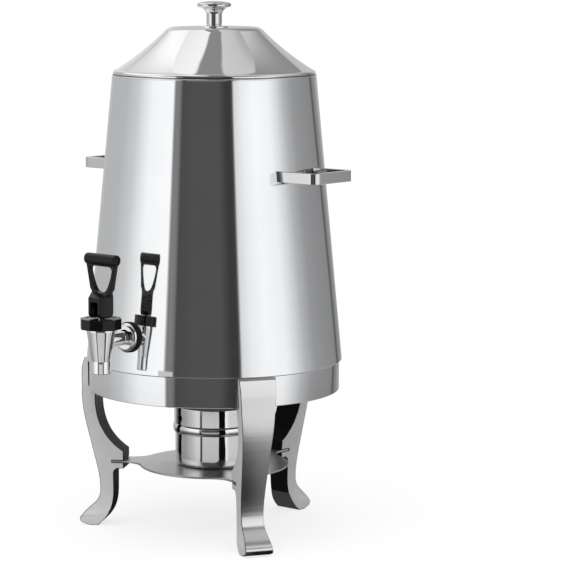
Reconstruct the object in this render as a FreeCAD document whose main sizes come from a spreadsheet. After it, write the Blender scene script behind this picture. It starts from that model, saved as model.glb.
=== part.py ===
import FreeCAD, Part
import math
import os

import Sketcher

# Coffee urn: a conical steel urn with a lid and a tap, on a three-legged stand
# with a fuel burner. Millimetres, +Z up. The origin is on the urn's axis at the
# floor. The tap looks towards -Y and the handles point along X.

doc = FreeCAD.newDocument("coffee_urn")
sheet = doc.addObject("Spreadsheet::Sheet", "Sizes")

# Driving sizes: name, value and meaning

SIZES = [
    ("ring_bottom", 147.0, "height of the stand ring's lower edge"),
    ("ring_height", 30.0, "height of the stand ring"),
    ("ring_radius", 127.3, "outer radius of the stand ring"),
    ("ring_wall", 1.5, "wall of the stand ring"),
    ("ring_ledge", 5.0, "width of the ledge turned in at the ring's top"),
    ("ring_corner", 0.6, "rounding of the ring's upper rim"),
    ("join_gap", 0.05, "room between faces that are joined"),
    ("leg_count", 3, "number of legs"),
    ("leg_top_drop", 0.6, "leg's top below the ring's top"),
    ("leg_top_thick", 7.6, "leg beyond the ring's face"),
    ("leg_crown", 8.0, "height of the rounding at the leg's top"),
    ("leg_crown_top_in", 4.0, "leg's face set back at its very top"),
    ("leg_crown_in", 1.0, "leg's face set back under the crown"),
    ("leg_straight_up", 149.0, "height where the leg's face is straight"),
    ("leg_shoulder", 6.8, "how far the leg passes under the ring"),
    ("leg_knee_up", 133.0, "height where the leg starts to curve in"),
    ("leg_shoulder_up", 138.0, "height where the leg's inner curve meets its shoulder"),
    ("leg_knee_in", 118.1, "inner radius under the knee"),
    ("leg_knee_in_up", 111.6, "height under the knee"),
    ("leg_calf_out", 128.9, "outer radius at the calf"),
    ("leg_calf_in", 111.7, "inner radius at the calf"),
    ("leg_calf_up", 97.0, "height of the calf"),
    ("leg_shin_out", 121.6, "outer radius at the shin"),
    ("leg_shin_up", 67.0, "height of the shin"),
    ("leg_ankle_out", 117.5, "outer radius at the ankle"),
    ("leg_ankle_in", 103.1, "inner radius at the ankle"),
    ("leg_ankle_up", 41.0, "height of the ankle"),
    ("leg_arch_out", 119.4, "outer radius between ankle and instep"),
    ("leg_arch_up", 28.9, "height between ankle and instep"),
    ("leg_instep_out", 126.5, "outer radius at the instep"),
    ("leg_instep_up", 20.8, "height of the instep"),
    ("leg_instep_in", 106.1, "inner radius at the instep"),
    ("leg_instep_in_up", 17.9, "height of the instep's inner side"),
    ("leg_toe_out", 138.8, "outer radius of the toe"),
    ("leg_toe_top_in", 2.1, "upper end of the toe's round set back"),
    ("leg_toe_top_up", 9.9, "height of the round's upper end"),
    ("leg_toe_up", 6.1, "height of the toe's tip"),
    ("leg_toe_low_in", 3.4, "lower end of the toe's round set back"),
    ("leg_toe_low_up", 2.3, "height of the round's lower end"),
    ("leg_sole_out", 129.0, "outer end of the sole"),
    ("leg_sole_in", 119.7, "inner end of the sole"),
    ("leg_heel_in", 111.3, "inner radius at the heel"),
    ("leg_heel_up", 8.7, "height of the heel"),
    ("spur_end", 92.5, "radius of the spur's end face"),
    ("spur_root", 104.6, "radius where the spur leaves the leg"),
    ("spur_root_up", 21.6, "spur's root above the tray's underside"),
    ("spur_over", 11.9, "spur above the tray's underside"),
    ("spur_under", 6.2, "spur below the tray's underside"),
    ("spur_fillet", 5.2, "rounding under the spur"),
    ("leg_top_wide", 38.0, "width of the leg at its top"),
    ("leg_knee_wide", 33.6, "width at the knee"),
    ("leg_calf_wide", 28.6, "width at the calf"),
    ("leg_shin_wide", 25.7, "width at the shin"),
    ("leg_ankle_wide", 23.6, "width at the ankle"),
    ("leg_instep_wide", 24.4, "width at the instep"),
    ("leg_heel_wide", 28.6, "width at the heel"),
    ("leg_toe_wide", 29.2, "width at the toe"),
    ("leg_screw", 5.0, "thread of the leg screws"),
    ("leg_screw_grip", 6.0, "depth of the leg screws in the leg"),
    ("leg_screw_apart", 18.0, "distance between a leg's two screws"),
    ("leg_screw_up", 10.0, "leg screws above the ring's lower edge"),
    ("screw_room", 0.2, "room round a screw in its clearance hole"),
    ("tray_up", 66.4, "height of the tray's underside"),
    ("tray_thick", 2.0, "thickness of the tray"),
    ("tray_radius", 76.0, "radius of the tray's disc"),
    ("tray_arm_wide", 25.0, "width of a tray arm"),
    ("tray_arm_bite", 12.0, "depth of an arm's tip in its slot"),
    ("tray_corner", 22.0, "inner corner between arm and disc"),
    ("slot_gap", 0.25, "room round an arm's tip in its slot"),
    ("fuel_radius", 39.7, "outer radius of the fuel cup"),
    ("fuel_wall", 0.9, "wall of the fuel cup and its cover"),
    ("fuel_height", 60.0, "height of the fuel cup"),
    ("fuel_corner", 4.0, "rounding at the cup's bottom"),
    ("cover_gap", 0.3, "room between cup and cover"),
    ("cover_drop", 27.4, "how far the cover reaches down over the cup"),
    ("cover_corner", 1.45, "rounding of the cover's top edge"),
    ("cover_bead", 9.0, "height of the soft bead at the cover's foot"),
    ("cover_mouth", 27.0, "radius of the flame opening"),
    ("vent_radius", 4.0, "radius of an air hole"),
    ("vent_drop", 11.6, "air holes below the cover's top"),
    ("vent_count", 3, "air holes round the cover"),
    ("vent_turn", 43.0, "degrees that the air holes are turned"),
    ("urn_height", 288.0, "height of the urn's cone"),
    ("urn_foot_radius", 129.9, "outer radius at the urn's foot"),
    ("urn_mouth_radius", 102.7, "outer radius at the urn's mouth"),
    ("urn_wall", 1.2, "wall of the urn"),
    ("urn_bead", 0.9, "radius of the bead rolled over the wall at the mouth"),
    ("seat_gap", 0.3, "room between parts that lift off"),
    ("plate_up", 20.0, "bottom plate above the urn's foot"),
    ("plate_thick", 1.5, "thickness of the bottom plate"),
    ("plate_flange", 8.0, "flange turned down round the plate"),
    ("collar_drop", 9.0, "locating collar below the urn's foot"),
    ("collar_rise", 9.0, "collar's rim inside the urn's wall"),
    ("collar_wall", 1.2, "wall of the collar"),
    ("collar_room", 0.6, "room between collar and ledge"),
    ("lid_rim_radius", 102.0, "outer radius of the lid's rim"),
    ("lid_rim_up", 4.2, "height of the lid's rim"),
    ("lid_rim_straight", 1.65, "straight part of the lid's rim"),
    ("lid_rim_round", 3.4, "rounding over the lid's rim"),
    ("lid_rim_in", 2.9, "width of the rounding over the rim"),
    ("lid_foot_lean", 31.0, "degrees that the lid's wall leans at the slope's foot"),
    ("lid_head_lean", 44.0, "degrees that the lid's wall leans at the slope's head"),
    ("lid_slope_head", 50.5, "radius where the lid's slope ends"),
    ("lid_slope_rise", 38.0, "height of the lid's slope"),
    ("lid_slope_curve", 273.0, "radius of the slope's hollow curve"),
    ("lid_shoulder", 12.5, "radius of the lid's shoulder"),
    ("lid_crown", 42.0, "radius of the lid's flat top"),
    ("lid_crown_rise", 4.8, "flat top above the slope's end"),
    ("lid_wall", 1.0, "wall of the lid"),
    ("skirt_depth", 11.0, "depth of the lid's skirt in the mouth"),
    ("skirt_wall", 0.8, "wall of the lid's skirt"),
    ("washer_radius", 14.2, "radius of the knob washer"),
    ("washer_thick", 1.0, "thickness of the knob washer"),
    ("knob_radius", 17.2, "radius of the knob's disc"),
    ("knob_stem", 7.8, "radius of the knob's stem"),
    ("knob_height", 24.7, "height of the knob over its washer"),
    ("knob_flare_up", 12.0, "height where the stem starts to flare"),
    ("knob_flare", 9.5, "radius of the flare's hollow curve"),
    ("knob_rim_in", 1.0, "foot of the disc's rounded rim set back"),
    ("knob_rim_drop", 5.6, "foot of the disc's rounded rim below its top"),
    ("knob_rim_round", 2.3, "radius of the disc's rounded rim"),
    ("knob_face_in", 1.3, "edge of the disc's domed face set back"),
    ("knob_face_drop", 1.7, "edge of the disc's domed face below its top"),
    ("knob_dome", 48.0, "radius of the disc's domed face"),
    ("knob_flat", 3.0, "radius of the flat middle of the disc's face"),
    ("knob_groove", 0.6, "depth of the groove at the stem's foot"),
    ("knob_screw", 5.0, "thread of the knob screw"),
    ("knob_screw_grip", 10.0, "depth of the screw in the knob"),
    ("handle_up", 193.0, "middle of the handles over the urn's foot"),
    ("handle_tall", 10.8, "height of the handle bar"),
    ("handle_thick", 5.0, "thickness of the handle bar"),
    ("handle_wide", 60.5, "width of a handle"),
    ("handle_reach", 156.0, "distance of a handle's face from the axis"),
    ("handle_corner", 8.0, "outer corner of a handle"),
    ("handle_edge", 0.6, "rounding of the bar's edges"),
    ("handle_screw", 3.0, "thread of the handle screws"),
    ("handle_screw_grip", 9.0, "depth of the screw in the bar"),
    ("handle_seal", 1.5, "thickness of the sealing washer"),
    ("tap_reach", 166.0, "distance of the tap from the urn's axis"),
    ("shank_up", 35.4, "tap shank over the urn's foot"),
    ("shank_radius", 7.0, "radius of the tap shank"),
    ("shank_bore", 4.0, "radius of the passage in the shank"),
    ("shank_inside", 16.0, "shank inside the urn's wall"),
    ("shank_gap", 0.3, "room round the shank in its holes"),
    ("rose_radius", 14.0, "radius of the escutcheon"),
    ("rose_thick", 4.5, "thickness of the escutcheon"),
    ("rose_dome", 3.0, "rounding of the escutcheon's rim"),
    ("gasket_radius", 15.1, "radius of the outer gasket"),
    ("gasket_thick", 2.4, "thickness of the outer gasket"),
    ("inner_gasket_radius", 13.0, "radius of the inner gasket"),
    ("inner_gasket_thick", 4.6, "inner gasket from the wall to its flat face"),
    ("nut_flats", 23.0, "lock nut across its flats"),
    ("nut_thick", 7.0, "thickness of the lock nut"),
    ("spout_drop", 31.2, "spout's end below the shank's middle"),
    ("spout_tip", 9.2, "radius of the spout's tip"),
    ("spout_tip_tall", 12.4, "height of the straight tip"),
    ("spout_tip_edge", 0.8, "rounding of the spout's tip"),
    ("spout_top", 14.1, "radius of the tap body under the bonnet"),
    ("spout_band", 2.0, "height of the straight band under the bonnet"),
    ("spout_bore", 5.5, "radius of the outlet"),
    ("valve_bore", 8.6, "radius of the valve chamber"),
    ("valve_seat", 7.0, "valve seat below the shank's middle"),
    ("body_rise", 12.8, "shoulder of the tap body over the shank"),
    ("neck_radius", 12.6, "radius of the neck in the bonnet"),
    ("neck_tall", 5.2, "height of the neck"),
    ("bonnet_radius", 20.6, "corner radius of the bonnet"),
    ("bonnet_tall", 10.4, "height of the bonnet"),
    ("bonnet_sides", 10, "sides of the bonnet"),
    ("bonnet_turn", 11.3, "degrees that the bonnet is turned"),
    ("bonnet_edge", 0.7, "bevel of the bonnet's rims"),
    ("seal_thick", 1.5, "thickness of the seal under the bonnet"),
    ("stem_radius", 3.0, "radius of the valve stem"),
    ("stem_gap", 0.4, "room round the stem in the bonnet and seal"),
    ("cup_radius", 7.2, "radius of the seat cup"),
    ("cup_tall", 5.0, "height of the seat cup"),
    ("cup_floor", 1.8, "seat cup under the stem"),
    ("spring_radius", 5.0, "mean radius of the valve spring"),
    ("spring_wire", 0.9, "wire of the valve spring"),
    ("spring_turns", 4.5, "turns of the valve spring"),
    ("lever_gap", 0.4, "lever above the bonnet at rest"),
    ("pivot_up", 8.0, "lever pin above the lever's foot"),
    ("lever_wide", 15.6, "width of the lever's block"),
    ("lever_deep", 19.4, "depth of the lever's block"),
    ("lever_cam", 5.0, "rounding of the lever's foot"),
    ("lever_block_tall", 20.0, "height of the lever's block"),
    ("lever_slot", 9.4, "width of the slot for the stem"),
    ("lever_slot_tall", 15.5, "height of the slot for the stem"),
    ("lever_bar_up", 56.6, "middle of the cross bar above the foot"),
    ("lever_bar_radius", 5.5, "radius of the cross bar"),
    ("lever_bar_long", 40.0, "length of the cross bar"),
    ("lever_bar_edge", 1.0, "rounding of the cross bar's ends"),
    ("bar_recess_radius", 3.2, "radius of the recess in the cross bar's ends"),
    ("bar_recess_deep", 1.2, "depth of the recess in the cross bar's ends"),
    ("loop_top_wide", 37.5, "width of the loop at the bar"),
    ("loop_neck_wide", 28.0, "width of the loop at its neck"),
    ("loop_neck_up", 28.0, "height of the loop's neck"),
    ("loop_thick", 5.6, "thickness of the loop"),
    ("loop_back", 2.2, "loop and cross bar set back towards the urn"),
    ("loop_foot_up", 25.0, "height where the block has narrowed to the loop"),
    ("loop_arm", 4.0, "width of the loop's arms"),
    ("loop_bridge", 1.0, "web between the cross bar and the loop's hole"),
    ("loop_hole_foot", 24.2, "foot of the loop's hole above the lever's foot"),
    ("loop_hole_round", 4.0, "rounding of the hole's upper corners"),
    ("loop_hole_tip", 10.0, "radius of the hole's lower end"),
    ("loop_hole_tip_wide", 16.0, "width of the hole's rounded lower end"),
    ("loop_hole_tip_up", 4.0, "height of the hole's rounded lower end"),
    ("loop_hole_belly", 60.0, "radius of the hole's curved sides"),
    ("pin_radius", 1.5, "radius of the lever pin"),
    ("pin_gap", 0.05, "running room round the lever pin"),
    ("pin_long", 14.0, "length of the lever pin"),
]

for row, (name, value, meaning) in enumerate(SIZES, start=1):
    sheet.set("A%d" % row, meaning)
    sheet.set("B%d" % row, str(value))
    sheet.setAlias("B%d" % row, name)
doc.recompute()


class Size:
    """A length with its number and the sheet expression that gives it."""

    def __init__(self, number, text):
        self.number = number
        self.text = text

    def _with(self, other, sign, number):
        text = other.text if isinstance(other, Size) else repr(float(other))
        return Size(number, "(%s %s %s)" % (self.text, sign, text))

    def __add__(self, other):
        return self._with(other, "+", self.number + plain(other))

    def __sub__(self, other):
        return self._with(other, "-", self.number - plain(other))

    def __mul__(self, other):
        return self._with(other, "*", self.number * plain(other))

    def __truediv__(self, other):
        return self._with(other, "/", self.number / plain(other))

    def __neg__(self):
        return Size(-self.number, "(0 - %s)" % self.text)


def plain(value):
    """The number of a Size or of a plain number."""
    return value.number if isinstance(value, Size) else float(value)


def cell(name):
    """A driving size from the sheet."""
    return Size(float(sheet.get(name)), "Sizes.%s" % name)


def amount(name):
    """The plain number of a driving size."""
    return float(sheet.get(name))


def square_root(size):
    """The square root of a Size."""
    return Size(math.sqrt(size.number), "sqrt(%s)" % size.text)


AXIS = Size(0.0, "0")

# How far a cut runs past a face
PAST = 1.0

# A pan head's radius, height and rounding as shares of the thread's radius
PAN_HEAD = 1.9
PAN_TALL = 1.2
PAN_ROUND = 0.7

# Levels and radii that several pieces share

join_gap = cell("join_gap")
seat_gap = cell("seat_gap")
ring_top = cell("ring_bottom") + cell("ring_height")
ring_inner = cell("ring_radius") - cell("ring_wall")
urn_foot = ring_top + seat_gap
urn_mouth = urn_foot + cell("urn_height")
lid_seat = urn_mouth + seat_gap
lid_slope_foot_z = lid_seat + cell("lid_rim_up")
lid_slope_head_z = lid_slope_foot_z + cell("lid_slope_rise")
lid_top = lid_slope_head_z + cell("lid_crown_rise")
washer_top = lid_top + cell("washer_thick")
handle_z = urn_foot + cell("handle_up")
tray_top = cell("tray_up") + cell("tray_thick")
fuel_top = tray_top + cell("fuel_height")
cover_top = fuel_top + cell("cover_gap") + cell("fuel_wall")
shank_z = urn_foot + cell("shank_up")
seat_z = shank_z - cell("valve_seat")
cup_foot = seat_z + seat_gap
cup_top = cup_foot + cell("cup_tall")
shoulder_z = shank_z + cell("body_rise")
neck_top = shoulder_z + cell("neck_tall")
seal_top = neck_top + cell("seal_thick")
bonnet_foot = shoulder_z + join_gap
bonnet_top = bonnet_foot + cell("bonnet_tall")
lever_foot = bonnet_top + cell("lever_gap")
pivot_z = lever_foot + cell("pivot_up")
bar_z = lever_foot + cell("lever_bar_up")
taper = (cell("urn_foot_radius") - cell("urn_mouth_radius")) / cell("urn_height")
TAPER_ANGLE = math.degrees(math.atan(plain(taper)))
LEG_STEP = 360.0 / amount("leg_count")


def wall_at(height):
    """Outer radius of the urn's wall at a height."""
    return cell("urn_foot_radius") - (height - urn_foot) * taper


# Drawing helpers

def new_body(label):
    """An empty body with its node name."""
    body = doc.addObject("PartDesign::Body", label)
    body.Label = label
    return body


def origin_feature(body, role):
    """One of the body's own origin planes or axes."""
    return [f for f in body.Origin.OriginFeatures if f.Role == role][0]


def bind(feature, prop, size):
    """Bind a property to the sheet."""
    feature.setExpression(prop, size.text)


def new_sketch(body, name, role, lift):
    """A sketch on one of the body's origin planes, raised by lift."""
    sketch = body.newObject("Sketcher::SketchObject", name)
    sketch.AttachmentSupport = [(origin_feature(body, role), "")]
    sketch.MapMode = "FlatFace"
    bind(sketch, "AttachmentOffset.Base.z", lift)
    return sketch


def settle(feature):
    """Recompute, and stop where a feature has failed."""
    doc.recompute()
    if "Invalid" in feature.State or feature.Shape.isNull():
        raise RuntimeError(feature.Name + " failed")


def fix_number(sketch, kind, where, size):
    """Add a dimension to a sketch and bind it to the sheet."""
    index = sketch.addConstraint(Sketcher.Constraint(kind, *where, plain(size)))
    bind(sketch, "Constraints[%d]" % index, size)


def fix_point(sketch, line, end, across, along):
    """Hold one end of a line at its place from the sketch's origin."""
    if across is AXIS:
        sketch.addConstraint(Sketcher.Constraint("PointOnObject", line, end, -2))
    else:
        fix_number(sketch, "DistanceX", (-1, 1, line, end), across)
    if along is AXIS:
        sketch.addConstraint(Sketcher.Constraint("PointOnObject", line, end, -1))
    else:
        fix_number(sketch, "DistanceY", (-1, 1, line, end), along)


LEFT = 1
RIGHT = -1


def add_arc(sketch, start, end, radius, side):
    """Add an arc whose centre lies LEFT or RIGHT of the way from start to end."""
    chord = end - start
    rise = math.sqrt(max(radius ** 2 - (chord.Length / 2) ** 2, 0.0))
    normal = FreeCAD.Vector(-chord.y, chord.x, 0).normalize()
    centre = (start + end) / 2 + normal * (rise * side)
    circle = Part.Circle(centre, FreeCAD.Vector(0, 0, 1), radius)
    first = math.atan2(start.y - centre.y, start.x - centre.x)
    last = math.atan2(end.y - centre.y, end.x - centre.x)
    if side == LEFT:
        return sketch.addGeometry(Part.ArcOfCircle(circle, first, last)), 1, 2
    return sketch.addGeometry(Part.ArcOfCircle(circle, last, first)), 2, 1


def draw(sketch, corners):
    """Draw a closed outline of corners (across, along). A corner that ends in
    a radius and a side starts an arc to the next corner."""
    points = [FreeCAD.Vector(plain(c[0]), plain(c[1]), 0) for c in corners]
    parts = []
    for index, corner in enumerate(corners):
        start = points[index]
        end = points[(index + 1) % len(points)]
        if len(corner) > 2:
            parts.append(add_arc(sketch, start, end, plain(corner[2]), corner[3]))
        else:
            parts.append((sketch.addGeometry(Part.LineSegment(start, end)), 1, 2))
    for index, corner in enumerate(corners):
        line, first, last = parts[index]
        after, after_first, _ = parts[(index + 1) % len(parts)]
        sketch.addConstraint(Sketcher.Constraint("Coincident", line, last, after, after_first))
        fix_point(sketch, line, first, corner[0], corner[1])
        if len(corner) > 2:
            fix_number(sketch, "Radius", (line,), corner[2])


def draw_circle(sketch, across, along, radius):
    """Draw a circle held at its place."""
    middle = FreeCAD.Vector(plain(across), plain(along), 0)
    circle = Part.Circle(middle, FreeCAD.Vector(0, 0, 1), plain(radius))
    index = sketch.addGeometry(circle)
    fix_point(sketch, index, 3, across, along)
    fix_number(sketch, "Radius", (index,), radius)


def turned(body, name, corners, kind="PartDesign::Revolution"):
    """Turn an outline of (radius, height) round the body's Z axis."""
    sketch = new_sketch(body, name + "_outline", "XZ_Plane", AXIS)
    if isinstance(corners, tuple):
        draw_circle(sketch, *corners)
    else:
        draw(sketch, corners)
    feature = body.newObject(kind, name)
    feature.Profile = sketch
    feature.ReferenceAxis = (sketch, ["V_Axis"])
    feature.Angle = 360
    settle(feature)
    return feature


def pushed(body, kind, name, role, outline, length, lift=AXIS, way="middle"):
    """Pad or pocket an outline, or a circle given as (across, along, radius).
    The way is middle, along or against the sketch's normal."""
    sketch = new_sketch(body, name + "_outline", role, lift)
    if isinstance(outline, tuple):
        draw_circle(sketch, *outline)
    else:
        draw(sketch, outline)
    feature = body.newObject("PartDesign::" + kind, name)
    feature.Profile = sketch
    bind(feature, "Length", length)
    feature.Midplane = way == "middle"
    cuts = kind == "Pocket"
    feature.Reversed = (way == "along" and cuts) or (way == "against" and not cuts)
    settle(feature)
    if cuts and not feature.Shape.Volume < feature.BaseFeature.Shape.Volume:
        raise RuntimeError(name + " cut nothing")
    return feature


def pad(body, name, role, outline, length, lift=AXIS, way="middle"):
    return pushed(body, "Pad", name, role, outline, length, lift, way)


def pocket(body, name, role, outline, length, lift=AXIS, way="middle"):
    return pushed(body, "Pocket", name, role, outline, length, lift, way)


def round_pattern(body, feature, count):
    """Repeat a feature evenly round the Z axis."""
    pattern = body.newObject("PartDesign::PolarPattern", feature.Name + "_round")
    pattern.Originals = [feature]
    pattern.Axis = (origin_feature(body, "Z_Axis"), [""])
    pattern.Angle = 360
    bind(pattern, "Occurrences", count)
    body.Tip = pattern
    settle(pattern)


def soften(body, kind, name, radius, chosen):
    """Fillet or chamfer the edges whose middle point passes the test."""
    base = body.Tip
    names = []
    for index, edge in enumerate(base.Shape.Edges, start=1):
        middle = edge.valueAt((edge.FirstParameter + edge.LastParameter) / 2)
        if chosen(edge, middle):
            names.append("Edge%d" % index)
    feature = body.newObject("PartDesign::" + kind, name)
    feature.Base = (base, names)
    bind(feature, "Radius" if kind == "Fillet" else "Size", radius)
    settle(feature)


def near(value, wanted, slack=0.05):
    return abs(value - plain(wanted)) < slack


def stand_at_tap(body):
    """Move a body drawn on the urn's axis to the tap's axis."""
    bind(body, "Placement.Base.y", -cell("tap_reach"))


def turn_body(body, degrees):
    """Turn a whole body about the Z axis."""
    body.Placement.Rotation = FreeCAD.Rotation(FreeCAD.Vector(0, 0, 1), plain(degrees))
    bind(body, "Placement.Rotation.Angle", Size(0, "%s * 1 deg" % degrees.text))


def urn_cone(name, extra):
    """The urn's outside as a solid cone, larger by extra, for trimming."""
    cone = doc.addObject("Part::Cone", name)
    bind(cone, "Radius1", cell("urn_foot_radius") + extra)
    bind(cone, "Radius2", cell("urn_mouth_radius") + extra)
    bind(cone, "Height", cell("urn_height"))
    bind(cone, "Placement.Base.z", urn_foot)
    return cone


def combined(kind, label, base, tool):
    """A node that is base cut by tool, or what they share."""
    result = doc.addObject("Part::" + kind, label)
    result.Label = label
    result.Base = base
    result.Tool = tool
    settle(result)


def made_in_code(label, shape, turn=0.0):
    """A node whose shape is made in code, turned about the urn's axis."""
    feature = doc.addObject("Part::Feature", label)
    feature.Label = label
    feature.Shape = shape
    rotation = FreeCAD.Rotation(FreeCAD.Vector(0, 0, 1), turn)
    feature.Placement = FreeCAD.Placement(FreeCAD.Vector(), rotation).multiply(feature.Placement)


def pan_screw(root, way, thread, grip):
    """A pan-head screw whose head sits at root and whose shank runs along way."""
    radius = thread / 2
    head_tall = radius * PAN_TALL
    shank = Part.makeCylinder(radius, grip, root, way)
    head = Part.makeCylinder(radius * PAN_HEAD, head_tall, root, way * -1)
    crown = root - way * head_tall
    rim = [edge for edge in head.Edges if edge.Closed and near((edge.Curve.Center - crown).Length, 0)]
    return head.makeFillet(radius * PAN_ROUND, rim).fuse(shank).removeSplitter()


def smooth_curve(points):
    """One smooth curve through points."""
    curve = Part.BSplineCurve()
    curve.interpolate(points)
    return curve.toShape()


# Stand ring: a plain band with a ledge turned in at its top

def stand_ring():
    body = new_body("stand_ring")
    lip = ring_inner - cell("ring_ledge")
    turned(body, "ring_band", [
        (cell("ring_radius"), cell("ring_bottom")),
        (cell("ring_radius"), ring_top),
        (lip, ring_top),
        (lip, ring_top - cell("ring_wall")),
        (ring_inner, ring_top - cell("ring_wall")),
        (ring_inner, cell("ring_bottom")),
    ])
    soften(body, "Fillet", "ring_rim", cell("ring_corner"), lambda edge, middle:
           near(middle.z, ring_top) and near(edge.BoundBox.XLength, cell("ring_radius") * 2))
    for side, across in (("left", -cell("leg_screw_apart") / 2), ("right", cell("leg_screw_apart") / 2)):
        height = cell("ring_bottom") + cell("leg_screw_up")
        hole = pocket(body, "screw_hole_" + side, "XZ_Plane",
                      (across, height, cell("leg_screw") / 2 + cell("screw_room")),
                      cell("ring_radius") * 2, way="against")
        round_pattern(body, hole, cell("leg_count"))


# Legs: a cabriole leg is a curved side outline, cut to a curved front outline

def leg_side(face, top):
    """The leg's side as a face in the YZ plane, its back against the ring."""
    def at(out, up):
        return FreeCAD.Vector(0, out, up)
    out = plain(face) + amount("leg_top_thick")
    toe = amount("leg_toe_out")
    slim = plain(face) - amount("leg_shoulder")
    under = amount("ring_bottom") - amount("join_gap")
    front = smooth_curve([
        at(out - amount("leg_crown_top_in"), top),
        at(out - amount("leg_crown_in"), top - amount("leg_crown")),
        at(out, amount("leg_straight_up")),
        at(out, amount("leg_knee_up")),
        at(amount("leg_calf_out"), amount("leg_calf_up")),
        at(amount("leg_shin_out"), amount("leg_shin_up")),
        at(amount("leg_ankle_out"), amount("leg_ankle_up")),
        at(amount("leg_arch_out"), amount("leg_arch_up")),
        at(amount("leg_instep_out"), amount("leg_instep_up")),
        at(toe - amount("leg_toe_top_in"), amount("leg_toe_top_up")),
    ])
    nose_end = at(toe - amount("leg_toe_low_in"), amount("leg_toe_low_up"))
    nose = Part.Arc(at(toe - amount("leg_toe_top_in"), amount("leg_toe_top_up")),
                    at(toe, amount("leg_toe_up")), nose_end).toShape()
    sole = [nose_end, at(amount("leg_sole_out"), 0), at(amount("leg_sole_in"), 0)]
    spur_foot = amount("tray_up") - amount("spur_under")
    fillet = amount("spur_fillet")
    ankle = amount("leg_ankle_in")
    short = fillet * (1 - math.sqrt(0.5))
    back = smooth_curve([
        at(amount("leg_sole_in"), 0),
        at(amount("leg_heel_in"), amount("leg_heel_up")),
        at(amount("leg_instep_in"), amount("leg_instep_in_up")),
        at(ankle, amount("leg_ankle_up")),
        at(ankle, spur_foot - fillet),
    ])
    corner = Part.Arc(at(ankle, spur_foot - fillet), at(ankle - short, spur_foot - short),
                      at(ankle - fillet, spur_foot)).toShape()
    spur_head = amount("tray_up") + amount("spur_over")
    spur = [at(ankle - fillet, spur_foot), at(amount("spur_end"), spur_foot),
            at(amount("spur_end"), spur_head)]
    inside = smooth_curve([
        at(amount("spur_end"), spur_head),
        at(amount("spur_root"), amount("tray_up") + amount("spur_root_up")),
        at(amount("leg_calf_in"), amount("leg_calf_up")),
        at(amount("leg_knee_in"), amount("leg_knee_in_up")),
        at(slim, amount("leg_shoulder_up")),
    ])
    shoulder = [at(slim, amount("leg_shoulder_up")), at(slim, under), at(plain(face), under),
                at(plain(face), top), at(out - amount("leg_crown_top_in"), top)]
    edges = [front, nose, back, corner, inside]
    for points in (sole, spur, shoulder):
        edges.extend(Part.makePolygon(points).Edges)
    return Part.Face(Part.Wire(Part.__sortEdges__(edges)))


def leg_front(top):
    """The leg's front as a face in the XZ plane."""
    stations = [
        (amount("leg_top_wide"), top),
        (amount("leg_knee_wide"), amount("leg_knee_up")),
        (amount("leg_calf_wide"), amount("leg_calf_up")),
        (amount("leg_shin_wide"), amount("leg_shin_up")),
        (amount("leg_ankle_wide"), amount("leg_ankle_up")),
        (amount("leg_instep_wide"), amount("leg_instep_up")),
        (amount("leg_heel_wide"), amount("leg_heel_up")),
        (amount("leg_toe_wide"), 0.0),
    ]
    right = smooth_curve([FreeCAD.Vector(wide / 2, 0, up) for wide, up in stations])
    left = smooth_curve([FreeCAD.Vector(-wide / 2, 0, up) for wide, up in stations])
    head = Part.makeLine(left.Vertexes[0].Point, right.Vertexes[0].Point)
    foot = Part.makeLine(left.Vertexes[-1].Point, right.Vertexes[-1].Point)
    return Part.Face(Part.Wire(Part.__sortEdges__([right, foot, left, head])))


def leg_shape():
    """The leg at +Y: side and front combined, with its slot and screw holes."""
    face = cell("ring_radius") + join_gap
    top = plain(ring_top) - amount("leg_top_drop")
    wide = FreeCAD.Vector(amount("leg_toe_wide") * 2, 0, 0)
    deep = FreeCAD.Vector(0, amount("leg_toe_out") * 2, 0)
    side = leg_side(face, top)
    side.translate(wide * -0.5)
    leg = side.extrude(wide).common(leg_front(top).extrude(deep))
    band_foot = FreeCAD.Vector(0, 0, plain(cell("ring_bottom") - join_gap))
    leg = leg.cut(Part.makeCylinder(plain(face), amount("ring_height") + PAST, band_foot))
    gap = amount("slot_gap")
    bite = amount("tray_arm_bite") + gap * 2
    slot = Part.makeBox(wide.x, bite, amount("tray_thick") + gap * 2,
                        FreeCAD.Vector(-wide.x / 2, amount("spur_end") - gap, amount("tray_up") - gap))
    leg = leg.cut(slot)
    thread = amount("leg_screw") / 2 + amount("join_gap")
    for root in leg_screw_roots():
        length = amount("ring_radius") - root.y + amount("leg_screw_grip") + amount("screw_room")
        leg = leg.cut(Part.makeCylinder(thread, length, root, FreeCAD.Vector(0, 1, 0)))
    return leg.removeSplitter()


def leg_screw_roots():
    """Where the heads of the two screws of the leg at +Y sit on the ring."""
    apart = amount("leg_screw_apart") / 2
    head = amount("leg_screw") / 2 * PAN_HEAD
    seat = math.sqrt(plain(ring_inner) ** 2 - (apart + head) ** 2) - amount("join_gap")
    height = amount("ring_bottom") + amount("leg_screw_up")
    return [FreeCAD.Vector(side * apart, seat, height) for side in (-1, 1)]


def legs():
    shape = leg_shape()
    made_in_code("leg_back", shape)
    made_in_code("leg_right", shape.copy(), -LEG_STEP)
    made_in_code("leg_left", shape.copy(), LEG_STEP)
    screws = []
    outward = FreeCAD.Vector(0, 1, 0)
    for root in leg_screw_roots():
        grip = amount("ring_radius") - root.y + amount("leg_screw_grip")
        screw = pan_screw(root, outward, amount("leg_screw"), grip)
        for turn in range(int(amount("leg_count"))):
            screws.append(screw.rotated(FreeCAD.Vector(), FreeCAD.Vector(0, 0, 1), turn * LEG_STEP))
    made_in_code("leg_screws", Part.makeCompound(screws))


# Burner tray: a flat disc with an arm to each leg

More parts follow.
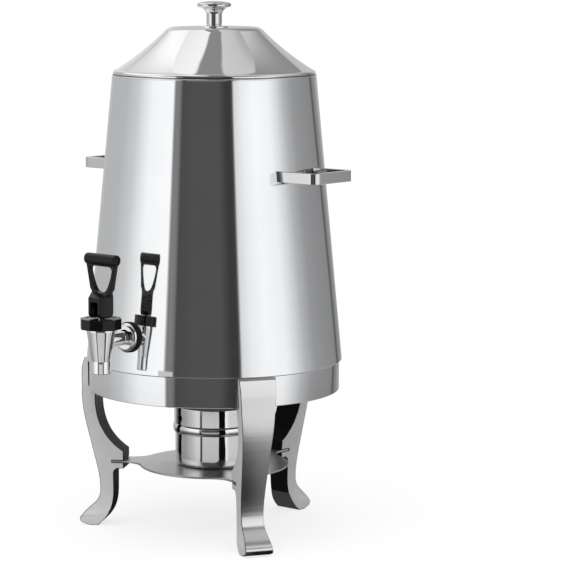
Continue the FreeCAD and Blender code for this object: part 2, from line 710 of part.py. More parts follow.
def burner_tray():
    body = new_body("burner_tray")
    pad(body, "tray_disc", "XY_Plane", (AXIS, AXIS, cell("tray_radius")), cell("tray_thick"),
        cell("tray_up"), "along")
    half = cell("tray_arm_wide") / 2
    tip = cell("spur_end") + cell("tray_arm_bite")
    arm = pad(body, "tray_arm", "XY_Plane",
              [(-half, AXIS), (half, AXIS), (half, tip), (-half, tip)],
              cell("tray_thick"), cell("tray_up"), "along")
    round_pattern(body, arm, cell("leg_count"))

    def inner_corner(edge, middle):
        upright = near(edge.BoundBox.ZLength, cell("tray_thick"))
        return upright and near(math.hypot(middle.x, middle.y), cell("tray_radius"))

    soften(body, "Fillet", "tray_corners", cell("tray_corner"), inner_corner)


# Fuel holder: a cup on the tray and a cover with air holes that turns on it

def air_holes(body):
    """Holes round the wall that line up in the cup and its cover."""
    hole = pocket(body, body.Name + "_vent", "XZ_Plane",
                  (AXIS, cover_top - cell("vent_drop"), cell("vent_radius")),
                  cell("fuel_radius") * 2, way="against")
    round_pattern(body, hole, cell("vent_count"))
    turn_body(body, cell("vent_turn"))


def fuel_cup():
    body = new_body("fuel_cup")
    outer = cell("fuel_radius")
    wall = cell("fuel_wall")
    inner = outer - wall
    corner = cell("fuel_corner")
    foot = tray_top + seat_gap
    turned(body, "cup_wall", [
        (AXIS, foot),
        (outer - corner, foot, corner, LEFT),
        (outer, foot + corner),
        (outer, fuel_top),
        (inner, fuel_top),
        (inner, foot + corner, corner - wall, RIGHT),
        (outer - corner, foot + wall),
        (AXIS, foot + wall),
    ])
    air_holes(body)


def fuel_cover():
    body = new_body("fuel_cover")
    inner = cell("fuel_radius") + cell("cover_gap")
    wall = cell("fuel_wall")
    outer = inner + wall
    corner = cell("cover_corner")
    bottom = cover_top - cell("cover_drop")
    turned(body, "cover_wall", [
        (outer, bottom),
        (outer, cover_top - corner, corner, LEFT),
        (outer - corner, cover_top),
        (cell("cover_mouth"), cover_top),
        (cell("cover_mouth"), cover_top - wall),
        (inner, cover_top - wall),
        (inner, bottom),
    ])
    bead = cell("cover_bead")
    turned(body, "cover_bead_roll", [
        (inner, bottom),
        (outer, bottom, bead, LEFT),
        (outer, bottom + bead),
        (inner, bottom + bead),
    ])
    air_holes(body)


# Urn: conical shell, bottom plate and the collar that centres it on the stand

def urn_shell():
    body = new_body("urn_shell")
    wall = cell("urn_wall")
    turned(body, "cone_wall", [
        (cell("urn_foot_radius"), urn_foot),
        (cell("urn_mouth_radius"), urn_mouth),
        (cell("urn_mouth_radius") - wall, urn_mouth),
        (cell("urn_foot_radius") - wall, urn_foot),
    ])
    turned(body, "mouth_bead", (cell("urn_mouth_radius") - wall / 2,
                                urn_mouth - cell("urn_bead"), cell("urn_bead")))
    pocket(body, "tap_hole", "XZ_Plane", (AXIS, shank_z, cell("shank_radius") + cell("shank_gap")),
           cell("urn_foot_radius") * 2, way="along")
    for side, across in handle_arms():
        pocket(body, "handle_holes_" + side, "YZ_Plane",
               (across, handle_z, cell("handle_screw") / 2 + cell("screw_room")),
               cell("urn_foot_radius") * 3)


def urn_bottom():
    body = new_body("urn_bottom")
    top = urn_foot + cell("plate_up")
    low = top - cell("plate_flange")
    thick = cell("plate_thick")
    inset = cell("urn_wall") + join_gap
    turned(body, "bottom_plate", [
        (AXIS, top),
        (AXIS, top - thick),
        (wall_at(top) - inset - thick, top - thick),
        (wall_at(low) - inset - thick, low),
        (wall_at(low) - inset, low),
        (wall_at(top) - inset, top),
    ])


def seat_collar():
    body = new_body("seat_collar")
    wall = cell("collar_wall")
    inset = cell("urn_wall") + join_gap
    low = urn_foot - cell("collar_drop")
    top = urn_foot + cell("collar_rise")
    ring = ring_inner - cell("ring_ledge") - cell("collar_room")
    turned(body, "collar", [
        (ring, low),
        (ring, urn_foot),
        (wall_at(urn_foot) - inset, urn_foot),
        (wall_at(top) - inset, top),
        (wall_at(top) - inset - wall, top),
        (wall_at(urn_foot) - inset - wall, urn_foot + wall),
        (ring - wall, urn_foot + wall),
        (ring - wall, low),
    ])


# Handles: square loops of flat bar, screwed on from inside

def handle_arms():
    """The middle of a handle's two arms, across the handle."""
    middle = (cell("handle_wide") - cell("handle_thick")) / 2
    return (("near", -middle), ("far", middle))


def handle(label, turn):
    bar = new_body(label + "_bar")
    half = cell("handle_wide") / 2
    thick = cell("handle_thick")
    face = cell("handle_reach")
    corner = cell("handle_corner")
    root = arm_face() - corner
    pad(bar, label + "_bend", "XY_Plane", [
        (root, -half),
        (face - corner, -half, corner, LEFT),
        (face, corner - half),
        (face, half - corner, corner, LEFT),
        (face - corner, half),
        (root, half),
        (root, half - thick),
        (face - corner, half - thick, corner - thick, RIGHT),
        (face - thick, half - corner),
        (face - thick, corner - half, corner - thick, RIGHT),
        (face - corner, thick - half),
        (root, thick - half),
    ], cell("handle_tall"), handle_z)

    def long_edge(edge, middle):
        return near(edge.BoundBox.ZLength, 0) and middle.x > plain(root + cell("handle_edge"))

    soften(bar, "Fillet", label + "_edges", cell("handle_edge"), long_edge)
    for side, across in handle_arms():
        pocket(bar, "%s_thread_%s" % (label, side), "YZ_Plane",
               (across, handle_z, cell("handle_screw") / 2 + join_gap),
               arm_face() + cell("handle_screw_grip") + cell("screw_room"), way="along")
    turn_body(bar, Size(turn, str(turn)))
    combined("Cut", label, bar, urn_cone(label + "_wall", join_gap))


def arm_face():
    """How far along X a handle's arm meets the urn's wall."""
    across = (cell("handle_wide") - cell("handle_thick")) / 2
    return square_root(wall_at(handle_z) * wall_at(handle_z) - across * across)


def handle_fasteners():
    """Screws through the wall into the arms, each with a sealing washer."""
    across = plain((cell("handle_wide") - cell("handle_thick")) / 2)
    radius = amount("handle_screw") / 2
    inner = plain(wall_at(handle_z)) - amount("urn_wall")
    head = radius * PAN_HEAD
    wall_face = math.sqrt(inner ** 2 - (across + head) ** 2) - head * plain(taper)
    seat = wall_face - amount("handle_seal")
    grip = plain(arm_face()) - seat + amount("handle_screw_grip")
    long = amount("handle_seal") * 4
    screws = []
    seals = []
    outward = FreeCAD.Vector(1, 0, 0)
    inside = doc.getObject("urn_inside").Shape
    for turn in (0, 180):
        for side in (-1, 1):
            root = FreeCAD.Vector(seat, side * across, plain(handle_z))
            screw = pan_screw(root, outward, amount("handle_screw"), grip)
            washer = Part.makeCylinder(head, long, root, outward)
            washer = washer.cut(Part.makeCylinder(radius + amount("join_gap"), long, root, outward))
            washer = washer.common(inside)
            axis = FreeCAD.Vector(0, 0, 1)
            screws.append(screw.rotated(FreeCAD.Vector(), axis, turn))
            seals.append(washer.rotated(FreeCAD.Vector(), axis, turn))
    made_in_code("handle_screws", Part.makeCompound(screws))
    made_in_code("handle_seals", Part.makeCompound(seals))


# Lid: a dished cover with a skirt that sits in the mouth

def lid_shell():
    body = new_body("lid_shell")
    rim = cell("lid_rim_radius")
    rounding = cell("lid_rim_round")
    foot = rim - cell("lid_rim_in")
    rim_top = lid_seat + cell("lid_rim_straight")
    wall = cell("lid_wall")
    curve = cell("lid_slope_curve")
    shoulder = cell("lid_shoulder")
    head = cell("lid_slope_head")
    centre = cell("knob_screw") / 2 + cell("screw_room")
    foot_lean = math.radians(amount("lid_foot_lean"))
    head_lean = math.radians(amount("lid_head_lean"))
    turned(body, "lid_dish", [
        (rim, lid_seat),
        (rim, rim_top, rounding, LEFT),
        (foot, lid_slope_foot_z, curve, RIGHT),
        (head, lid_slope_head_z, shoulder, LEFT),
        (cell("lid_crown"), lid_top),
        (centre, lid_top),
        (centre, lid_top - wall),
        (cell("lid_crown"), lid_top - wall, shoulder - wall, RIGHT),
        (head - wall * math.sin(head_lean), lid_slope_head_z - wall * math.cos(head_lean),
         curve + wall, LEFT),
        (foot - wall * math.sin(foot_lean), lid_slope_foot_z - wall * math.cos(foot_lean),
         rounding - wall, RIGHT),
        (rim - wall, rim_top),
        (rim - wall, lid_seat),
    ])


def lid_skirt():
    body = new_body("lid_skirt")
    outer = cell("lid_rim_radius") - cell("lid_wall") - join_gap
    inner = outer - cell("skirt_wall")
    top = lid_seat + cell("lid_rim_straight")
    turned(body, "skirt_band", [
        (outer, urn_mouth - cell("skirt_depth")),
        (outer, top),
        (inner, top),
        (inner, urn_mouth - cell("skirt_depth")),
    ])


def knob_parts():
    washer = new_body("knob_washer")
    hole = cell("knob_screw") / 2 + cell("screw_room")
    bevel = cell("washer_thick") / 2
    turned(washer, "washer_disc", [
        (hole, lid_top),
        (cell("washer_radius"), lid_top),
        (cell("washer_radius"), lid_top + bevel),
        (cell("washer_radius") - bevel, washer_top),
        (hole, washer_top),
    ])
    knob = new_body("knob")
    stem = cell("knob_stem")
    disc = cell("knob_radius")
    groove = cell("knob_groove")
    top = washer_top + cell("knob_height")
    thread = cell("knob_screw") / 2 + join_gap
    depth = washer_top + cell("knob_screw_grip") + cell("screw_room")
    turned(knob, "knob_turning", [
        (AXIS, depth),
        (thread, depth),
        (thread, washer_top),
        (stem, washer_top),
        (stem, washer_top + groove),
        (stem - groove, washer_top + groove * 2),
        (stem, washer_top + groove * 3),
        (stem, washer_top + cell("knob_flare_up"), cell("knob_flare"), RIGHT),
        (disc - cell("knob_rim_in"), top - cell("knob_rim_drop"), cell("knob_rim_round"), LEFT),
        (disc - cell("knob_face_in"), top - cell("knob_face_drop"), cell("knob_dome"), LEFT),
        (cell("knob_flat"), top),
        (AXIS, top),
    ])
    root = FreeCAD.Vector(0, 0, plain(lid_top) - amount("lid_wall"))
    grip = amount("lid_wall") + amount("washer_thick") + amount("knob_screw_grip")
    up = FreeCAD.Vector(0, 0, 1)
    made_in_code("knob_screw", pan_screw(root, up, amount("knob_screw"), grip))


# Tap: body with its shank, seals, nut, bonnet, valve and lever

def tap_body():
    body = new_body("tap_body")
    tip_z = shank_z - cell("spout_drop")
    cone_z = tip_z + cell("spout_tip_tall")
    turned(body, "spout", [
        (AXIS, tip_z),
        (cell("spout_tip"), tip_z),
        (cell("spout_tip"), cone_z),
        (cell("spout_top"), shoulder_z - cell("spout_band")),
        (cell("spout_top"), shoulder_z),
        (cell("neck_radius"), shoulder_z),
        (cell("neck_radius"), neck_top),
        (AXIS, neck_top),
    ])
    shank_long = cell("tap_reach") - wall_at(shank_z) + cell("shank_inside")
    pad(body, "shank", "XZ_Plane", (AXIS, shank_z, cell("shank_radius")), shank_long, way="against")
    turned(body, "valve_bores", [
        (AXIS, tip_z - PAST),
        (cell("spout_bore"), tip_z - PAST),
        (cell("spout_bore"), seat_z),
        (cell("valve_bore"), seat_z),
        (cell("valve_bore"), neck_top + PAST),
        (AXIS, neck_top + PAST),
    ], "PartDesign::Groove")
    pocket(body, "passage", "XZ_Plane", (AXIS, shank_z, cell("shank_bore")),
           shank_long + PAST, way="against")

    def tip_rim(edge, middle):
        return near(middle.z, tip_z) and near(edge.BoundBox.XLength, cell("spout_tip") * 2)

    soften(body, "Fillet", "tip_edge", cell("spout_tip_edge"), tip_rim)
    stand_at_tap(body)


def stand_on_wall(body):
    """Stand a body square on the urn's wall in front, at the shank."""
    lean = FreeCAD.Rotation(FreeCAD.Vector(1, 0, 0), 90 - TAPER_ANGLE)
    body.Placement = FreeCAD.Placement(FreeCAD.Vector(), lean)
    bind(body, "Placement.Base.y", -wall_at(shank_z))
    bind(body, "Placement.Base.z", shank_z)


def tap_mounting():
    """Escutcheon, two gaskets and the lock nut on the shank."""
    hole = cell("shank_radius") + cell("shank_gap") * 2
    rose = new_body("tap_escutcheon")
    start = cell("gasket_thick") + join_gap
    dome = cell("rose_dome")
    turned(rose, "rose_dome_ring", [
        (hole, start),
        (cell("rose_radius"), start),
        (cell("rose_radius"), start + cell("rose_thick") - dome, dome, LEFT),
        (cell("rose_radius") - dome, start + cell("rose_thick")),
        (hole, start + cell("rose_thick")),
    ])
    stand_on_wall(rose)
    ring = new_body("outer_gasket_ring")
    turned(ring, "outer_gasket_band", [
        (hole, -cell("gasket_thick")),
        (cell("gasket_radius"), -cell("gasket_thick")),
        (cell("gasket_radius"), cell("gasket_thick")),
        (hole, cell("gasket_thick")),
    ])
    stand_on_wall(ring)
    combined("Cut", "outer_gasket", ring, urn_cone("gasket_wall", join_gap))
    room = cell("shank_radius") + join_gap
    inner_thick = cell("inner_gasket_thick")
    face = wall_at(shank_z) - cell("urn_wall") - inner_thick
    inner = new_body("inner_gasket_ring")
    pad(inner, "inner_gasket_disc", "XZ_Plane", (AXIS, shank_z, cell("inner_gasket_radius")),
        inner_thick * 2, face, "along")
    pocket(inner, "inner_gasket_hole", "XZ_Plane", (AXIS, shank_z, room),
           inner_thick * 2, face, "along")
    combined("Common", "inner_gasket", inner, urn_cone("urn_inside", -cell("urn_wall") - join_gap))
    nut = new_body("lock_nut")
    corners = []
    for degrees in range(0, 360, 60):
        angle = math.radians(degrees)
        corners.append((cell("nut_flats") * (math.cos(angle) / math.sqrt(3)),
                        shank_z + cell("nut_flats") * (math.sin(angle) / math.sqrt(3))))
    nut_face = face - cell("nut_thick") - join_gap
    pad(nut, "nut_hexagon", "XZ_Plane", corners, cell("nut_thick"), nut_face, "along")
    pocket(nut, "nut_thread", "XZ_Plane", (AXIS, shank_z, room), cell("nut_thick"), nut_face, "along")


def tap_bonnet():
    """A black screw cap with flat sides over the neck and the seal."""
    body = new_body("tap_bonnet")
    count = int(amount("bonnet_sides"))
    corners = []
    for index in range(count):
        angle = math.radians(index * 360.0 / count - 90 + amount("bonnet_turn"))
        corners.append((cell("bonnet_radius") * math.cos(angle), cell("bonnet_radius") * math.sin(angle)))
    pad(body, "bonnet_block", "XY_Plane", corners, cell("bonnet_tall"), bonnet_foot, "along")
    soften(body, "Chamfer", "bonnet_bevel", cell("bonnet_edge"),
           lambda edge, middle: near(middle.z, bonnet_foot) or near(middle.z, bonnet_top))
    room = cell("neck_radius") + join_gap * 2
    pocket(body, "bonnet_thread", "XY_Plane", (AXIS, AXIS, room),
           seal_top + join_gap - bonnet_foot, bonnet_foot, "along")
    pocket(body, "bonnet_hole", "XY_Plane", (AXIS, AXIS, cell("stem_radius") + cell("stem_gap")),
           cell("bonnet_tall") * 2, bonnet_foot, "along")
    stand_at_tap(body)
    seal = new_body("top_seal")
    turned(seal, "seal_disc", [
        (cell("stem_radius") + cell("stem_gap"), neck_top),
        (cell("neck_radius"), neck_top),
        (cell("neck_radius"), seal_top),
        (cell("stem_radius") + cell("stem_gap"), seal_top),
    ])
    stand_at_tap(seal)


def valve_parts():
    """Stem, seat cup and spring; they rise together when the lever tilts."""
    stem = new_body("valve_stem")
    radius = cell("stem_radius")
    foot = cup_foot + cell("cup_floor") + join_gap
    turned(stem, "stem_rod", [
        (AXIS, foot),
        (radius, foot),
        (radius, pivot_z, radius, LEFT),
        (AXIS, pivot_z + radius),
    ])
    pocket(stem, "stem_pin_hole", "YZ_Plane", (AXIS, pivot_z, cell("pin_radius") + cell("pin_gap")),
           radius * 4)
    stand_at_tap(stem)
    cup = new_body("seat_cup")
    bevel = cell("cup_floor") / 2
    turned(cup, "cup_plug", [
        (AXIS, cup_foot),
        (cell("cup_radius") - bevel, cup_foot),
        (cell("cup_radius"), cup_foot + bevel),
        (cell("cup_radius"), cup_top),
        (radius + join_gap, cup_top),
        (radius + join_gap, cup_foot + cell("cup_floor")),
        (AXIS, cup_foot + cell("cup_floor")),
    ])
    stand_at_tap(cup)
    wire = amount("spring_wire") / 2
    low = plain(cup_top) + wire + amount("join_gap")
    high = plain(neck_top) - wire - amount("join_gap")
    coil = amount("spring_radius")
    helix = Part.makeHelix((high - low) / amount("spring_turns"), high - low, coil)
    end = Part.Circle(FreeCAD.Vector(coil, 0, 0), FreeCAD.Vector(0, 1, 0), wire)
    spring = Part.Wire(helix.Edges).makePipeShell([Part.Wire(end.toShape())], True, True)
    spring.translate(FreeCAD.Vector(0, -amount("tap_reach"), low))
    made_in_code("valve_spring", spring)


def lever_outline():
    """Half of the lever's front outline, from its foot up to the cross bar."""
    return [
        (cell("lever_wide") / 2, lever_foot),
        (cell("lever_wide") / 2, lever_foot + cell("lever_block_tall")),
        (cell("loop_neck_wide") / 2, lever_foot + cell("loop_neck_up")),
        (cell("loop_top_wide") / 2, bar_z - cell("lever_bar_radius")),
        (cell("loop_top_wide") / 2, bar_z),
    ]


def tap_lever():
    body = new_body("tap_lever")
    right = lever_outline()
    left = [(-across, up) for across, up in reversed(right)]
    pad(body, "lever_front", "XZ_Plane", right + left, cell("lever_deep"))
    half_deep = cell("lever_deep") / 2
    half_thin = cell("loop_thick") / 2
    block_top = lever_foot + cell("lever_block_tall")
    thin_z = lever_foot + cell("loop_foot_up")
    back = cell("loop_back")
    wide = cell("loop_top_wide") * 2
    for side, sign in (("front", -1), ("back", 1)):
        pocket(body, "lever_waist_" + side, "YZ_Plane", [
            (half_deep * sign, block_top),
            (back + half_thin * sign, thin_z),
            (back + half_thin * sign, bar_z + PAST),
            ((half_deep + PAST) * sign, bar_z + PAST),
            ((half_deep + PAST) * sign, block_top),
        ], wide)
    cam = cell("lever_cam")
    for side, sign in (("front", -1), ("back", 1)):
        pocket(body, "lever_cam_" + side, "YZ_Plane", [
            (half_deep * sign, lever_foot + cam, cam, LEFT if sign < 0 else RIGHT),
            ((half_deep - cam) * sign, lever_foot),
            ((half_deep - cam) * sign, lever_foot - PAST),
            ((half_deep + PAST) * sign, lever_foot - PAST),
            ((half_deep + PAST) * sign, lever_foot + cam),
        ], wide)
    hole_half = cell("loop_top_wide") / 2 - cell("loop_arm")
    hole_top = bar_z - cell("lever_bar_radius") - cell("loop_bridge")
    tip_z = lever_foot + cell("loop_hole_foot") + cell("loop_hole_tip_up")
    tip_half = cell("loop_hole_tip_wide") / 2
    turn = cell("loop_hole_round")
    belly = cell("loop_hole_belly")
    pocket(body, "loop_hole", "XZ_Plane", [
        (turn - hole_half, hole_top, turn, LEFT),
        (-hole_half, hole_top - turn, belly, LEFT),
        (-tip_half, tip_z, cell("loop_hole_tip"), LEFT),
        (tip_half, tip_z, belly, LEFT),
        (hole_half, hole_top - turn, turn, LEFT),
        (hole_half - turn, hole_top),
    ], cell("lever_deep") * 2)
    pad(body, "cross_bar", "YZ_Plane", (back, bar_z, cell("lever_bar_radius")), cell("lever_bar_long"))

    def bar_end(edge, middle):
        return near(abs(middle.x), cell("lever_bar_long") / 2) and edge.Closed

    soften(body, "Fillet", "bar_ends", cell("lever_bar_edge"), bar_end)
    recess = (back, bar_z, cell("bar_recess_radius"))
    deep = cell("bar_recess_deep")
    half_bar = cell("lever_bar_long") / 2
    pocket(body, "bar_recess_right", "YZ_Plane", recess, deep, half_bar - deep, "along")
    pocket(body, "bar_recess_left", "YZ_Plane", recess, deep, deep - half_bar, "against")
    clear = cell("stem_radius") + cell("stem_gap")
    pocket(body, "stem_slot", "YZ_Plane", [
        (-half_deep - PAST, lever_foot - PAST),
        (clear, lever_foot - PAST),
        (clear, lever_foot + cell("lever_slot_tall")),
        (-half_deep - PAST, lever_foot + cell("lever_slot_tall")),
    ], cell("lever_slot"))
    pocket(body, "pin_bore", "YZ_Plane", (AXIS, pivot_z, cell("pin_radius") + cell("pin_gap")),
           cell("lever_wide") * 2, cell("pin_long") / 2, "against")
    stand_at_tap(body)
    pin = new_body("lever_pin")
    pad(pin, "pin_rod", "YZ_Plane", (AXIS, pivot_z, cell("pin_radius")), cell("pin_long") - join_gap)
    stand_at_tap(pin)


# Build every piece, check it and write it out

stand_ring()
legs()
burner_tray()
fuel_cup()
fuel_cover()
urn_shell()
urn_bottom()
seat_collar()
handle("handle_right", 0.0)
handle("handle_left", 180.0)
lid_shell()
lid_skirt()
knob_parts()
tap_body()
tap_mounting()
handle_fasteners()
tap_bonnet()
valve_parts()
tap_lever()
doc.recompute()

NODES = [
    "stand_ring", "leg_right", "leg_left", "leg_back", "leg_screws", "burner_tray",
    "fuel_cup", "fuel_cover",
    "urn_shell", "urn_bottom", "seat_collar", "handle_right", "handle_left",
    "handle_screws", "handle_seals",
    "lid_shell", "lid_skirt", "knob_washer", "knob", "knob_screw",
    "tap_body", "tap_escutcheon", "outer_gasket", "inner_gasket", "lock_nut",
    "tap_bonnet", "top_seal", "valve_stem", "seat_cup", "valve_spring",
    "tap_lever", "lever_pin",
]

for feature in doc.Objects:
    if "Invalid" in feature.State or "Error" in feature.State:
        raise RuntimeError("%s failed: %s" % (feature.Label, feature.State))

os.makedirs("parts", exist_ok=True)
for label in NODES:
    shape = doc.getObjectsByLabel(label)[0].Shape
    if shape.isNull() or not shape.isValid() or not shape.Solids:
        raise RuntimeError("%s has no valid solid" % label)
    shape.exportStep("parts/%s.step" % label)
    print("%-16s %2d solid(s) %10.1f mm3" % (label, len(shape.Solids), shape.Volume))
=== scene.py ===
# %% [markdown]
# # A polished coffee urn
# The urn is a cone of mirror-bright steel that stands on three cast legs, with a
# dished lid, two bar handles, a burner holder under it and a black lever tap.
# The solids come ready made and already stand in their places. This lesson gives
# them finishes, models the pieces that want a softer or richer shape than their
# solid has, and sets up a small photo studio round them. We start with the
# solids, because every later size is read off them.

# %% Load the solids
import math

import bmesh
import bpy
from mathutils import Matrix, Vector


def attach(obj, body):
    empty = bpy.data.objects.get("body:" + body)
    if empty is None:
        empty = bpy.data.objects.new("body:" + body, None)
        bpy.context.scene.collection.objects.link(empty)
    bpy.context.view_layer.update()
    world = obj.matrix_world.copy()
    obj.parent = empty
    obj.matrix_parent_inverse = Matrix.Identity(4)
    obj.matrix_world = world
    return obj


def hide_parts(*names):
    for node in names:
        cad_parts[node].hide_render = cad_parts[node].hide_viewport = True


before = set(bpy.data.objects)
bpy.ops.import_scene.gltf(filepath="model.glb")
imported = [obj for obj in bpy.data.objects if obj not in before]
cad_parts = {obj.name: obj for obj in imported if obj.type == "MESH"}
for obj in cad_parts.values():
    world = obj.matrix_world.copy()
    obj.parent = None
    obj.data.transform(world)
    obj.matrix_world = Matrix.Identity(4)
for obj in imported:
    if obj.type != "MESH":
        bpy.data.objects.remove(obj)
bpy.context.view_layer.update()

# %% [markdown]
# ## The camera
# A product photographer stands well back with a long lens, so that the upright
# sides of a tall urn stay nearly parallel. We could aim the camera with a
# constraint, but two angles and a place are all that it needs, and they can be
# read. The lens shift puts the urn left of the middle without turning the camera.

# %% Set up the camera
CAMERA_TURN = math.radians(41.35)
CAMERA_DIP = math.radians(7.68)
CAMERA_PLACE = (1.6856, -1.9152, 0.5926)
FILM_WIDTH, LENS, LENS_SHIFT = 36, 158.34, 0.128
bpy.ops.object.camera_add(
    location=CAMERA_PLACE,
    rotation=(math.radians(90) - CAMERA_DIP, 0, CAMERA_TURN),
)
camera = bpy.context.object
camera.name = "portrait_camera"
camera.data.sensor_width = FILM_WIDTH
camera.data.lens = LENS
camera.data.shift_x = LENS_SHIFT
bpy.context.scene.camera = camera
bpy.context.scene.view_settings.view_transform = "Standard"
print("camera stands", round(camera.location.length, 2), "m from the urn's foot")

# %% [markdown]
# ## A short way to write nodes
# Every finish and every studio wall is a small tree of nodes. Adding, setting
# and joining each node takes three lines in plain code, so we write one helper
# that does it in one call. A socket given a number is set, and a socket given
# another node's output is linked.

# %% The node helpers
def add_node(tree, kind, sockets=None, **settings):
    """Add a node, then set or link its sockets."""
    node = tree.nodes.new(kind)
    for name, value in settings.items():
        setattr(node, name, value)
    for name, value in (sockets or {}).items():
        if isinstance(value, bpy.types.NodeSocket):
            tree.links.new(value, node.inputs[name])
        else:
            node.inputs[name].default_value = value
    return node


def colour_steps(tree, factor, steps):
    """A ramp over greys or colours, each given as (position, colour)."""
    ramp = add_node(tree, "ShaderNodeValToRGB", {"Fac": factor})
    stops = ramp.color_ramp.elements
    while len(stops) < len(steps):
        stops.new(1.0)
    for stop, (position, colour) in zip(stops, steps):
        stop.position = position
        stop.color = (colour, colour, colour, 1) if isinstance(colour, float) else (*colour, 1)
    return ramp.outputs["Color"]


def sum_of(tree, operation, first, second=0.0):
    """One step of arithmetic."""
    return add_node(tree, "ShaderNodeMath", {0: first, 1: second}, operation=operation).outputs[0]


print("node helpers ready")

# %% [markdown]
# ## The white background
# The urn stands before plain white. A brighter lamp would bleach the urn too, so
# the white comes from the world itself: rays that come straight from the camera,
# or off metal or through glass, find white, and the rays that only light the
# object find a softer grey.

# %% Make the world
SOFT_LIGHT = 0.62


def seen_directly(tree):
    """One for rays of the camera, off metal and through glass, else zero."""
    path = add_node(tree, "ShaderNodeLightPath").outputs
    metal = sum_of(tree, "ADD", path["Is Camera Ray"], path["Is Glossy Ray"])
    glass = sum_of(tree, "ADD", metal, path["Is Transmission Ray"])
    return sum_of(tree, "MINIMUM", glass, 1.0)


world = bpy.data.worlds.new("white_studio")
world.use_nodes = True
bpy.context.scene.world = world
sky = world.node_tree
sky_colour = colour_steps(sky, seen_directly(sky), [(0.0, SOFT_LIGHT), (1.0, 1.0)])
sky.links.new(sky_colour, sky.nodes["Background"].inputs["Color"])
print("world:", SOFT_LIGHT, "on the object, 1 in view")

# %% [markdown]
# ## The floor
# The floor should vanish into the white, yet keep the soft shadow at the feet. A
# floor that only glows would lose the shadow, and one that is only painted would
# look grey. So it is both: a pale paint takes the light and the shadow, and a
# glow that only the camera and the metal can see lifts it to white.

# %% Lay the floor
FLOOR_PAINT = 0.28
FLOOR_GLOW = 0.765
FLOOR_SIZE = 16


def stage_finish(name, colour, paint=None):
    """A glowing stage material whose colour is made by a function of its tree."""
    finish = bpy.data.materials.new(name)
    finish.use_nodes = True
    tree = finish.node_tree
    tree.nodes.clear()
    shader = add_node(tree, "ShaderNodeEmission", {"Color": colour(tree)}).outputs[0]
    if paint is not None:
        coat = add_node(tree, "ShaderNodeBsdfDiffuse", {"Color": (paint, paint, paint, 1)}).outputs[0]
        shader = add_node(tree, "ShaderNodeAddShader", {0: shader, 1: coat}).outputs[0]
    add_node(tree, "ShaderNodeOutputMaterial", {"Surface": shader})
    return finish


def seen_glow(level):
    """A colour for stage_finish that glows at a level and lights nothing."""
    return lambda tree: colour_steps(tree, seen_directly(tree), [(0.0, 0.0), (1.0, level)])


bpy.ops.object.select_all(action="DESELECT")
bpy.ops.mesh.primitive_plane_add(size=FLOOR_SIZE, location=(0, 0, 0))
floor = bpy.context.object
floor.name = "floor"
floor.data.materials.append(stage_finish("white_paper", seen_glow(FLOOR_GLOW), FLOOR_PAINT))
print("floor paint", FLOOR_PAINT, "and glow", FLOOR_GLOW)

# %% [markdown]
# ## The studio walls
# Mirror-bright metal shows the room, not itself. The dark band down the front of
# the urn is the unlit end of the studio behind the photographer, the white band
# beside it is a tall soft box, and the greys are the side walls. A flat card for
# each would leave gaps, so one round wall carries them all, as a ramp that runs
# with the angle round the urn. The bands widen a little lower down, so the angle
# is scaled by the height, about the left edge of the dark band. Only reflections
# see the wall.

# %% Build the round wall
WALL_RADIUS, WALL_FOOT, WALL_HEIGHT, UPPER_HEIGHT = 0.75, 0.001, 0.82, 0.88
WALL_BANDS = [
    (-180, 0.55), (-163, 0.78), (-150, 0.54), (-140, 0.49), (-105, 0.51), (-86, 0.65),
    (-76, 0.84), (-66, 1.02), (-41.7, 1.08), (-40.4, 0.11), (-38.6, 0.24), (-34.4, 0.19),
    (-32.6, 0.07), (-18, 0.085), (4, 0.085), (12, 0.04), (18.2, 0.038), (18.8, 0.74),
    (28.4, 0.94), (40, 1.05), (57, 0.98), (66, 0.77), (76, 0.5), (88, 0.34),
    (100, 0.3), (124, 0.26), (126, 0.1), (129, 0.1), (131.5, 0.22), (138, 0.28),
    (158, 0.56), (180, 0.55),
]
UPPER_BANDS = [
    (-180, 0.55), (-157, 0.62), (-148, 0.8), (-140, 1.02), (-133, 1.1), (-100, 1.0),
    (-75, 0.9), (-60, 0.2), (-40, 0.08), (19, 0.1), (60, 0.18), (75, 0.75),
    (124, 0.58), (134, 0.45), (144, 0.32), (154, 0.27), (180, 0.45),
]
BAND_PIVOT = 0.5 - 41 / 360
BAND_SCALE = [(0.0, 1.0), (0.1, 0.95), (0.21, 0.952), (0.51, 1.0), (1.0, 1.0)]
FLOOR_SHADE = [(0.0, 0.6), (0.03, 0.9), (0.06, 0.96), (0.12, 1.0)]


def reflection_card(name, glow_name, colour):
    """Finish the card just added, and let it show in reflections and nowhere else."""
    card = bpy.context.object
    card.name = name
    card.data.materials.append(stage_finish(glow_name, colour))
    card.visible_camera = False
    card.visible_diffuse = False
    card.visible_shadow = False
    card.visible_transmission = False


def angle_round(tree):
    """Half at the camera's side, and one full turn from zero to one."""
    place = add_node(tree, "ShaderNodeTexCoord").outputs["Object"]
    turn = add_node(tree, "ShaderNodeTexGradient", {"Vector": place}, gradient_type="RADIAL")
    return turn.outputs["Fac"]


def by_angle(bands):
    """Bands in degrees as the stops of a ramp."""
    return [(0.5 + angle / 360, level) for angle, level in bands]


def both(tree, first, second):
    """Two greys multiplied."""
    return add_node(tree, "ShaderNodeVectorMath", {0: first, 1: second}, operation="MULTIPLY").outputs[0]


